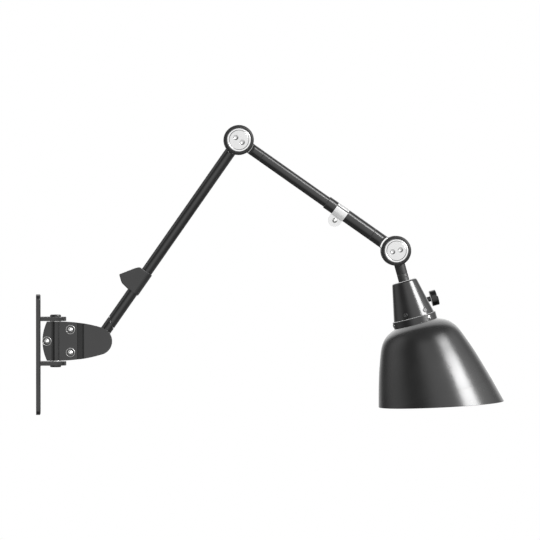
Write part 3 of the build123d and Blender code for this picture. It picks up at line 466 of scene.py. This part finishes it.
def mixed(tree, share, first, second):
    """The same for two colours, each a plain one or another node's output."""
    mix = add_node(tree, "ShaderNodeMix", {"Factor": share}, data_type="RGBA")
    sockets = [socket for socket in mix.inputs if socket.type == "RGBA"]
    for socket, colour in zip(sockets, (first, second)):
        if isinstance(colour, bpy.types.NodeSocket):
            tree.links.new(colour, socket)
        else:
            socket.default_value = (*colour, 1)
    return [socket for socket in mix.outputs if socket.type == "RGBA"][0]


def around(tree, place, centre):
    """Distance from an axis along Y through a centre, for turned faces."""
    offset = vector_calc(tree, "SUBTRACT", place, tuple(centre))
    return vector_calc(tree, "LENGTH", vector_calc(tree, "MULTIPLY", offset, (1, 0, 1)))


def along_axis(tree, place, point, axis):
    """How far a place lies along an axis from a point on it, in metres."""
    offset = vector_calc(tree, "SUBTRACT", place, tuple(point))
    return vector_calc(tree, "DOT_PRODUCT", offset, tuple(axis))


def off_value(tree, value, middle):
    """How far a value is from a middle one, either way."""
    return calc(tree, "ABSOLUTE", calc(tree, "SUBTRACT", value, middle))


def coat(tree, shader, tone, gloss):
    """Give the shader a colour and a roughness that come from other nodes."""
    tree.links.new(tone, shader.inputs["Base Color"])
    tree.links.new(gloss, shader.inputs["Roughness"])


def relief(tree, shader, height, depth, edge_radius):
    """Raise the surface by a height value, on edges that are softened over a radius."""
    inputs = {"Distance": depth, "Height": height}
    if edge_radius:
        bevel = add_node(tree, "ShaderNodeBevel", {"Radius": edge_radius}, samples=EDGE_SAMPLES)
        inputs["Normal"] = bevel.outputs["Normal"]
    bump = add_node(tree, "ShaderNodeBump", inputs)
    tree.links.new(bump.outputs["Normal"], shader.inputs["Normal"])


# ---------------------------------------------------------------- finishes
def duller_glance(tree, gloss, amount):
    """Gloss that is rougher where a face is seen along its surface."""
    facing = add_node(tree, "ShaderNodeLayerWeight").outputs["Facing"]
    return calc(tree, "ADD", gloss, between(tree, facing, *GLANCE, 0.0, amount))


def satin_paint(name, colour, roughness, edge_radius=PAINTED_EDGE, glance=0.0, ior=PAINT_IOR):
    """Baked black paint: a faint orange peel, cloudy gloss and softened edges."""
    material, tree, shader = new_finish(name, {"Metallic": 0.0, "IOR": ior})
    place = object_place(tree)
    clouds = speckle(tree, place, PAINT_CLOUDS)
    gloss = spread(tree, clouds, roughness, PAINT_DRIFT)
    if glance:
        gloss = duller_glance(tree, gloss, glance)
    coat(tree, shader, drifting(tree, clouds, colour, PAINT_TONES), gloss)
    peel = speckle(tree, place, PAINT_PEEL, SMOOTH_DETAIL)
    relief(tree, shader, peel, PAINT_PEEL_HEIGHT, edge_radius)
    return material


def paint_with_edge_highlight(name, colour, roughness, edge_place, edge_highlight):
    """Black paint on a turned piece of the head, with a painted highlight along its upper edge."""
    material, tree, shader = new_finish(name, {"IOR": PAINT_IOR})
    place = object_place(tree)
    clouds = speckle(tree, place, PAINT_CLOUDS)
    off_edge = between(
        tree, along_axis(tree, place, head_place, head_along),
        (edge_place + EDGE_HIGHLIGHT_FULL) * MILLIMETRE, (edge_place + EDGE_HIGHLIGHT_GONE) * MILLIMETRE)
    # A painted highlight along the upper edge, fading into the black paint.
    tone = mixed(tree, off_edge, edge_highlight, drifting(tree, clouds, colour, PAINT_TONES))
    coat(tree, shader, tone, spread(tree, clouds, roughness, PAINT_DRIFT))
    peel = speckle(tree, place, PAINT_PEEL, SMOOTH_DETAIL)
    relief(tree, shader, peel, PAINT_PEEL_HEIGHT, HIGHLIT_EDGE_ROUNDING)
    return material


def dimple_masks(tree, place, centre, angle):
    """From 0 to 1 in a cap's two dimples, and then on the lower part of their walls alone, where the painted
    shadow goes.
    """
    size = DIMPLE_RADIUS * MILLIMETRE
    masks = []
    for turn in (math.radians(angle), math.radians(angle + 180)):
        side = Vector((math.cos(turn), 0.0, math.sin(turn)))
        middle = centre + side * DIMPLE_PLACE * MILLIMETRE
        radius = around(tree, place, middle)
        rise = along_axis(tree, place, middle, (0, 0, 1))
        inside = between(tree, radius, size, DIMPLE_BRINK * size)
        wall = between(tree, radius, *(share * size for share in DIMPLE_WALL))
        low = between(tree, rise, *(share * size for share in DIMPLE_LOW))
        masks.append((inside, calc(tree, "MULTIPLY", calc(tree, "MULTIPLY", wall, inside), low)))
    return [calc(tree, "MAXIMUM", *pair) for pair in zip(*masks)]


def turned_metal(name, colour, centre, roughness, dimple_angle):
    """Plated cap faced on a lathe: fine rings about the joint's axis, painted shade in the groove, a painted
    highlight outside it, and blasted dimples painted lighter with a painted shadow low on their walls.
    """
    material, tree, shader = new_finish(name, {})
    place = object_place(tree)
    radius = around(tree, place, centre)
    middle, half = CAP_GROOVE_MIDDLE * MILLIMETRE, CAP_GROOVE_HALF * MILLIMETRE
    brow_highlight = between(tree, radius, middle, middle + half)
    out_of_groove = between(tree, off_value(tree, radius, middle), 0.0, half)
    dimples, shadow = dimple_masks(tree, place, centre, dimple_angle)
    face = drifting(tree, speckle(tree, place, CAP_CLOUDS), colour, CAP_TONES)
    # Painted highlight outside the groove, painted shade in it, dimples painted lighter and a painted shadow low
    # on their walls.
    face = mixed(tree, brow_highlight, face, shade_of(colour, CAP_BROW_HIGHLIGHT_TONE))
    face = mixed(tree, out_of_groove, shade_of(colour, CAP_GROOVE_SHADE_TONE), face)
    face = mixed(tree, dimples, face, shade_of(colour, DIMPLE_HIGHLIGHT_TONE))
    face = mixed(tree, shadow, face, shade_of(colour, DIMPLE_SHADOW_TONE))
    gloss = spread(tree, fine_lines(tree, radius, LATHE_RINGS, SMOOTH_DETAIL), roughness, CAP_DRIFT)
    blasted = calc(tree, "MULTIPLY", dimples, DIMPLE_ROUGHNESS)
    coat(tree, shader, face, calc(tree, "MAXIMUM", gloss, blasted))
    tree.links.new(blend(tree, dimples, 1.0, DIMPLE_METALLIC), shader.inputs["Metallic"])
    relief(tree, shader, out_of_groove, CAP_GROOVE_DEPTH, METAL_EDGE)
    return material


def plated_metal(name, colour, roughness):
    """Plated steel: slight unevenness of tone and gloss."""
    material, tree, shader = new_finish(name, {"Metallic": 1.0})
    place = object_place(tree)
    grain = speckle(tree, place, PLATING_GRAIN)
    tone = drifting(tree, speckle(tree, place, PLATING_CLOUDS), colour, PLATING_TONES)
    coat(tree, shader, tone, spread(tree, grain, roughness, PLATING_DRIFT))
    relief(tree, shader, grain, PLATING_GRAIN_HEIGHT, METAL_EDGE)
    return material


def drawn_metal(name, colour, roughness):
    """Rolled strip: faint scratches round the arm, and the line where the strip's ends lap."""
    material, tree, shader = new_finish(name, {"IOR": PAINT_IOR})
    place = object_place(tree)
    arm = Vector(joints["forearm_roll"]["axis"])
    above_arm = Vector((abs(arm.z), 0.0, abs(arm.x)))
    middle = Vector(joints["forearm_roll"]["pos_m"])
    lines = fine_lines(tree, along_axis(tree, place, middle, arm), ROLLING_LINES, NOISE_DETAIL)
    rise = along_axis(tree, place, middle, above_arm)
    off_seam = between(
        tree, off_value(tree, rise, BAND_SEAM_RISE * MILLIMETRE),
        BAND_SEAM_HALF * MILLIMETRE, BAND_SEAM_END * MILLIMETRE)
    tone = drifting(tree, speckle(tree, place, BAND_CLOUDS), colour, BAND_TONES)
    tone = mixed(tree, off_seam, shade_of(colour, BAND_SEAM_TONE), tone)
    gloss = spread(tree, lines, roughness, BAND_DRIFT)
    coat(tree, shader, tone, calc(tree, "ADD", gloss, blend(tree, off_seam, BAND_SEAM_ROUGHNESS, 0.0)))
    tree.links.new(blend(tree, off_seam, 0.0, BAND_METALLIC), shader.inputs["Metallic"])
    relief(tree, shader, off_seam, BAND_SEAM_DEPTH, METAL_EDGE)
    return material


def dished_steel(name, bright, dark, roughness):
    """Washer that is bright plated metal on its raised rim and as dark as the black paint in its dish."""
    material, tree, shader = new_finish(name, {"IOR": PAINT_IOR})
    place = object_place(tree)
    swivel = Vector(joints["wall_swivel"]["pos_m"])
    nearest, *others = (
        around(tree, place, swivel + Vector((right, 0.0, up)) * MILLIMETRE) for right, up in CLAMP_PLACES)
    for other in others:
        nearest = calc(tree, "MINIMUM", nearest, other)
    rim = between(
        tree, nearest, (CLAMP_DISH_RADIUS - CLAMP_RIM_FADE) * MILLIMETRE, CLAMP_DISH_RADIUS * MILLIMETRE)
    clouds = speckle(tree, place, DISH_CLOUDS)
    tone = mixed(tree, rim, drifting(tree, clouds, dark, DISH_TONES), bright)
    coat(tree, shader, tone, spread(tree, speckle(tree, place, PLATING_GRAIN), roughness, DISH_DRIFT))
    tree.links.new(rim, shader.inputs["Metallic"])
    relief(tree, shader, clouds, DISH_CLOUD_HEIGHT, METAL_EDGE)
    return material


def moulded_plastic(name, colour, roughness, grain, depth, edge_radius=PLASTIC_EDGE):
    """Moulded plastic, rubber or enamel: fine grain of a size and depth in metres."""
    material, tree, shader = new_finish(name, {"Metallic": 0.0, "IOR": PLASTIC_IOR})
    place = object_place(tree)
    fine = speckle(tree, place, grain)
    tone = drifting(tree, speckle(tree, place, PLASTIC_CLOUDS), colour, PLASTIC_TONES)
    coat(tree, shader, tone, spread(tree, fine, roughness, PLASTIC_DRIFT))
    relief(tree, shader, fine, depth, edge_radius)
    return material


def dress_node(node, material):
    """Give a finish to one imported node."""
    frame["nodes"][node].material_slots[0].material = material


def dress_slot(slot, material):
    """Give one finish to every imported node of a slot."""
    for node, node_slot in slot_of_node.items():
        if node_slot == slot:
            dress_node(node, material)


def dress_piece(piece, material):
    """Give a finish to a new piece."""
    piece.data.materials.append(material)


# ---------------------------------------------------------------- operators
class LAMP_OT_paint(bpy.types.Operator):
    """Black paint on the wall plate, wing, arms, housing and shade"""

    bl_idname = "lamp.paint"
    bl_label = "Paint"

    def execute(self, context):
        finishes = context.scene.lamp_finishes
        black, roughness = finishes.paint, finishes.paint_roughness
        dress_slot("black_paint", satin_paint("satin_black_paint", black, roughness - 0.07, glance=0.4))
        dress_node("lampholder_housing", satin_paint("housing_black_paint", black, roughness - 0.05))
        cup_paint = satin_paint("cup_black_paint", black, roughness + 0.3, ior=1.38)
        for joint in ("elbow", "head"):
            dress_node(f"{joint}_front_cup", cup_paint)
        dress_node("shade", satin_paint("shade_black_paint", black, roughness, edge_radius=0.0))
        dress_slot("black_oxide", satin_paint(
            "black_screw_coat", black, roughness + 0.05, edge_radius=0.0003))
        # The flange and the collar carry a painted highlight along their upper edges.
        dress_node("shade_flange", paint_with_edge_highlight(
            "flange_paint", black, roughness, FLANGE_EDGE_PLACE, edge_highlight=(0.3, 0.3, 0.3)))
        dress_node("neck_collar", paint_with_edge_highlight(
            "collar_paint", black, roughness + 0.2, COLLAR_EDGE_PLACE, edge_highlight=(0.06, 0.06, 0.06)))
        return {"FINISHED"}


class LAMP_OT_metal(bpy.types.Operator):
    """Plating on the joint caps, band, screws, nuts and washers"""

    bl_idname = "lamp.metal"
    bl_label = "Bright metal"

    def execute(self, context):
        finishes = context.scene.lamp_finishes
        nickel, zinc = finishes.nickel, finishes.zinc
        for joint, centre, angle in (
                ("elbow", elbow_place, ELBOW_DIMPLE_ANGLE), ("head", head_place, HEAD_DIMPLE_ANGLE)):
            face = turned_metal(f"{joint}_cap_nickel", nickel, centre, roughness=0.24, dimple_angle=angle)
            for side in ("front", "rear"):
                dress_node(f"{joint}_{side}_cap", face)
        dress_slot("band_metal", drawn_metal("band_nickel", shade_of(nickel, 1.45), roughness=0.27))
        dress_slot("screw_steel", plated_metal("screw_zinc", zinc, roughness=0.26))
        # The flange screws are a darker copy of the screw plating: painted shade that tones down their highlight.
        dress_node("flange_screws", plated_metal("flange_screw_steel_shaded", shade_of(zinc, 0.5), roughness=0.2))
        dress_node("neck_set_screw", satin_paint(
            "set_screw_coat", finishes.paint, roughness=0.3, edge_radius=METAL_EDGE))
        dress_slot("washer_steel", plated_metal("washer_steel_plate", shade_of(zinc, 0.55), roughness=0.3))
        dress_slot("contact_brass", plated_metal("contact_brass_sheet", (0.72, 0.53, 0.24), roughness=0.3))
        dress_node("clamp_washers", dished_steel(
            "clamp_washer_steel", bright=shade_of(zinc, 0.6), dark=finishes.paint, roughness=0.3))
        # The elbow's friction disc is a darker copy of the head disc's plating: painted shade.
        dress_node("elbow_friction_disc", plated_metal(
            "elbow_disc_steel_shaded", shade_of(zinc, 0.45), roughness=0.3))
        dress_node("head_friction_disc", plated_metal("head_disc_steel", zinc, roughness=0.3))
        return {"FINISHED"}


class LAMP_OT_plastic(bpy.types.Operator):
    """Plastic and rubber of the grip, knob, grommet, pads and lampholder"""

    bl_idname = "lamp.plastic"
    bl_label = "Plastic and rubber"

    def execute(self, context):
        finishes = context.scene.lamp_finishes
        dress_slot("grip_plastic", moulded_plastic(
            "grip_nylon", shade_of(finishes.paint, 1.15),
            roughness=0.34, grain=0.0007, depth=0.000012, edge_radius=0.0007))
        for slot, name, colour, roughness, grain, depth in (
                ("switch_plastic", "knob_plastic", finishes.knob, 0.14, 0.004, 0.000004),
                ("grommet_rubber", "grommet_rubber_mix", (0.02, 0.02, 0.02), 0.6, 0.0006, 0.00002),
                ("pad_fibre", "pad_pressed_fibre", (0.18, 0.12, 0.07), 0.7, 0.0005, 0.00003),
                ("holder_plastic", "holder_glaze", (0.74, 0.73, 0.69), 0.25, 0.003, 0.000008)):
            dress_slot(slot, moulded_plastic(name, colour, roughness, grain, depth))
        return {"FINISHED"}


class LAMP_OT_shade_lining(bpy.types.Operator):
    """White enamel inside the shade"""

    bl_idname = "lamp.shade_lining"
    bl_label = "Shade lining"

    def execute(self, context):
        details = context.scene.lamp_details
        turn = turns(details.columns)
        back_inset = (SHADE_WALL + LINING_GAP) * MILLIMETRE
        face = lining_rows(shade_profile(back_inset + details.lining_thickness), turn)
        back = lining_rows(shade_profile(back_inset), turn)
        piece = grid_piece("shade_lining", np.concatenate([face, back[::-1]]), "head")
        enamel = moulded_plastic(
            "lining_enamel", context.scene.lamp_finishes.enamel,
            roughness=0.3, grain=0.0012, depth=0.000006, edge_radius=0.0)
        dress_piece(piece, enamel)
        return {"FINISHED"}


def lining_rows(profile, turn):
    """Rows of points on one side of the lining, from its top down to the rim's plane."""
    down_curve = profile[0][LINING_START::LINING_STEP]
    start, end = down_curve[0], profile[0][-1]
    share = (down_curve - start) / (end - start)
    place = start + np.multiply.outer(share, rim_places(profile, turn) - start)
    return on_head(place, np.interp(place, *profile), turn[None, :])


class LAMP_OT_rim_bead(bpy.types.Operator):
    """Rolled edge round the shade's rim"""

    bl_idname = "lamp.rim_bead"
    bl_label = "Rim bead"

    def execute(self, context):
        details = context.scene.lamp_details
        bead = details.bead_radius
        turn = turns(2 * details.columns)
        profile = shade_profile(bead)
        places = rim_places(profile, turn) - bead + BEAD_HANG * MILLIMETRE
        radii = np.interp(places, *profile)
        # A small circle is carried round the rim.
        phi = turns(BEAD_FACES)[:, None]
        points = on_head(places + bead * np.sin(phi), radii + bead * np.cos(phi), turn[None, :])
        piece = grid_piece("rim_bead", points, "head")
        dress_piece(piece, bpy.data.materials["shade_black_paint"])
        return {"FINISHED"}


class LAMP_OT_socket_thread(bpy.types.Operator):
    """Rolled thread of the lampholder's screw shell"""

    bl_idname = "lamp.socket_thread"
    bl_label = "Socket thread"

    def execute(self, context):
        details = context.scene.lamp_details
        mount = mounts["lamp_socket"]
        middle = (Vector(mount["pos_m"]) - head_place).dot(head_along)
        half = mount["dims"]["length_mm"] * MILLIMETRE / 2
        crest = mount["dims"]["r_mm"] * MILLIMETRE - details.thread_depth / 2
        turn = turns(details.columns)[None, :]
        place = np.linspace(middle - half, middle + half, SHELL_ROWS)[:, None]
        # A wave that climbs one pitch each turn and fades out at both ends.
        wave = np.cos(2 * math.pi * (place / details.thread_pitch) - turn)
        fade = np.clip((half - np.abs(place - middle)) / details.thread_pitch, 0, 1)
        inner = crest + details.thread_depth / 2 * (1 + wave * fade)
        face = on_head(place, inner, turn)
        back = on_head(place, inner + SHELL_SHEET * MILLIMETRE, turn)
        piece = grid_piece("socket_thread", np.concatenate([face, back[::-1]]), "head")
        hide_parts("socket_shell")
        shell = plated_metal("shell_nickel", (0.76, 0.76, 0.77), roughness=0.24)
        dress_slot("shell_aluminium", shell)
        dress_piece(piece, shell)
        return {"FINISHED"}


class LAMP_OT_studio(bpy.types.Operator):
    """Camera, room, lamps and floor"""

    bl_idname = "lamp.studio"
    bl_label = "Studio"

    def execute(self, context):
        studio = context.scene.lamp_studio
        context.scene.view_settings.view_transform = "Standard"
        studio_camera(context.scene, studio)
        studio_world(context.scene, studio)
        for name, elevation, height, share in WINDOW_PANES:
            studio_lamp(name, elevation, height, studio.window_level * share)
        studio_floor()
        # In the photograph every face shows the room, and no piece is mirrored in another.
        for node in frame["nodes"].values():
            node.visible_glossy = False
        return {"FINISHED"}


# ---------------------------------------------------------------- studio
def studio_camera(scene, studio):
    """The camera, where the photographer's stood."""
    camera = bpy.data.objects.new("camera", bpy.data.cameras.new("camera"))
    scene.collection.objects.link(camera)
    camera.data.lens = studio.lens
    camera.data.sensor_width = SENSOR_WIDTH
    camera.location = studio.camera_place
    camera.rotation_euler = (math.pi / 2 - studio.camera_dip, 0, -studio.camera_turn)
    scene.camera = camera


def from_azimuth(azimuth, elevation):
    """Direction at degrees to the right of the camera's side and above level."""
    turn, lift = math.radians(azimuth), math.radians(elevation)
    return Vector((math.cos(lift) * math.sin(turn), -math.cos(lift) * math.cos(turn), math.sin(lift)))


def round_room(tree, bearing, levels):
    """Level of the room at a bearing from 0 to 1, once round."""
    ramp = add_node(tree, "ShaderNodeValToRGB", {"Fac": bearing})
    ramp.color_ramp.interpolation = "EASE"
    elements = ramp.color_ramp.elements
    elements[1].position = 1.0
    for degrees, _ in levels[1:-1]:
        elements.new(degrees / 360 + 0.5)
    for element, (_, level) in zip(elements, levels):
        element.color = (*[level / RAMP_TOP] * 3, 1)
    return calc(tree, "MULTIPLY", ramp.outputs["Color"], RAMP_TOP)


def by_height(tree, height, below, above, elevations):
    """One level below the first elevation in degrees and another above the second."""
    low, high = (math.sin(math.radians(elevation)) for elevation in elevations)
    return blend(tree, between(tree, height, low, high), below, above)


def room_level(tree, direction):
    """Level of the room in gloss, in a direction."""
    part = add_node(tree, "ShaderNodeSeparateXYZ", {"Vector": direction})
    toward_camera = calc(tree, "MULTIPLY", part.outputs["Y"], -1.0)
    angle = calc(tree, "ARCTAN2", part.outputs["X"], toward_camera)
    bearing = calc(tree, "MULTIPLY_ADD", angle, 0.5 / math.pi, 0.5)
    height = part.outputs["Z"]
    foot, walls = (round_room(tree, bearing, levels) for levels in (ROOM_FOOT, ROOM_WALLS))
    level = by_height(tree, height, foot, walls, FOOT_TO_WALLS)
    level = by_height(tree, height, level, ROOM_CEILING, WALLS_TO_CEILING)
    level = by_height(tree, height, ROOM_PIT, level, PIT_TO_FOOT)
    patch = from_azimuth(BACK_PATCH["azimuth"], BACK_PATCH["elevation"])
    nearness = vector_calc(tree, "DOT_PRODUCT", direction, tuple(patch))
    outer, inner = (math.cos(math.radians(BACK_PATCH[edge])) for edge in ("outer", "inner"))
    return blend(tree, between(tree, nearness, outer, inner), level, BACK_PATCH["level"])


def studio_world(scene, studio):
    """A room that is plain white to the camera, even to dull surfaces, and has dark screens in gloss."""
    world = bpy.data.worlds.new("room")
    world.use_nodes = True
    scene.world = world
    tree = world.node_tree
    tree.nodes.clear()
    path = add_node(tree, "ShaderNodeLightPath").outputs
    direction = add_node(tree, "ShaderNodeTexCoord").outputs["Generated"]
    reflected = blend(tree, path["Is Glossy Ray"], studio.room_level, room_level(tree, direction))
    seen = calc(tree, "MAXIMUM", path["Is Camera Ray"], path["Is Transmission Ray"])
    background = add_node(tree, "ShaderNodeBackground", {
        "Color": (1, 1, 1, 1), "Strength": blend(tree, seen, reflected, 1.0)})
    output = tree.nodes.new("ShaderNodeOutputWorld")
    tree.links.new(background.outputs["Background"], output.inputs["Surface"])


def studio_lamp(name, elevation, height, radiance):
    """A pane of the window, seen in gloss alone, so that dull colours stay as they are written."""
    data = bpy.data.lights.new(name, "AREA")
    data.shape = "RECTANGLE"
    data.size, data.size_y = WINDOW_WIDTH, height
    data.energy = radiance * math.pi * WINDOW_WIDTH * height
    lamp = bpy.data.objects.new(name, data)
    bpy.context.scene.collection.objects.link(lamp)
    toward = from_azimuth(WINDOW_AZIMUTH, elevation)
    low, high = cad_box
    middle = (Vector(low) + Vector(high)) / 2
    lamp.location = middle + toward * WINDOW_DISTANCE
    lamp.rotation_euler = toward.to_track_quat("Z", "Y").to_euler()
    lamp.visible_diffuse = False
    lamp.visible_camera = False


def studio_floor():
    """A pale round floor below the lamp, outside the camera's view."""
    turn = turns(FLOOR_CORNERS)
    ring = np.stack(np.broadcast_arrays(
        FLOOR_MIDDLE + FLOOR_RADIUS * np.cos(turn), FLOOR_RADIUS * np.sin(turn), FLOOR_HEIGHT), axis=-1)
    mesh = bpy.data.meshes.new("floor")
    mesh.from_pydata(ring.tolist(), [], [list(range(FLOOR_CORNERS))])
    floor = bpy.data.objects.new("floor", mesh)
    bpy.context.scene.collection.objects.link(floor)
    material, tree, shader = new_finish("floor_paper", {"Roughness": FLOOR_ROUGHNESS})
    clouds = speckle(tree, object_place(tree), FLOOR_CLOUDS)
    tree.links.new(drifting(tree, clouds, FLOOR_COLOUR, FLOOR_TONES), shader.inputs["Base Color"])
    mesh.materials.append(material)
    floor.visible_glossy = False


# ---------------------------------------------------------------- the add-on
class LAMP_PT_sidebar(bpy.types.Panel):
    """Sizes, finishes and studio of the wall lamp"""

    bl_idname = "LAMP_PT_sidebar"
    bl_label = "Wall lamp"
    bl_space_type = "VIEW_3D"
    bl_region_type = "UI"
    bl_category = "Wall lamp"

    def draw(self, context):
        for group in (context.scene.lamp_details, context.scene.lamp_finishes, context.scene.lamp_studio):
            box = self.layout.box()
            for name in group.bl_rna.properties.keys():
                if name not in ("rna_type", "name"):
                    box.prop(group, name)
        for operator in OPERATORS:
            self.layout.operator(operator.bl_idname)


OPERATORS = (
    LAMP_OT_paint, LAMP_OT_metal, LAMP_OT_plastic, LAMP_OT_shade_lining, LAMP_OT_rim_bead,
    LAMP_OT_socket_thread, LAMP_OT_studio)
GROUPS = {"lamp_details": LampDetails, "lamp_finishes": LampFinishes, "lamp_studio": LampStudio}


def register():
    for group in GROUPS.values():
        bpy.utils.register_class(group)
    for name, group in GROUPS.items():
        setattr(bpy.types.Scene, name, PointerProperty(type=group))
    for operator in OPERATORS:
        bpy.utils.register_class(operator)
    bpy.utils.register_class(LAMP_PT_sidebar)


def unregister():
    bpy.utils.unregister_class(LAMP_PT_sidebar)
    for operator in reversed(OPERATORS):
        bpy.utils.unregister_class(operator)
    for name in GROUPS:
        delattr(bpy.types.Scene, name)
    for group in GROUPS.values():
        bpy.utils.unregister_class(group)


def main():
    register()
    for step in (
            bpy.ops.lamp.paint, bpy.ops.lamp.metal, bpy.ops.lamp.plastic, bpy.ops.lamp.shade_lining,
            bpy.ops.lamp.rim_bead, bpy.ops.lamp.socket_thread, bpy.ops.lamp.studio):
        step()


if __name__ == "__main__":
    main()
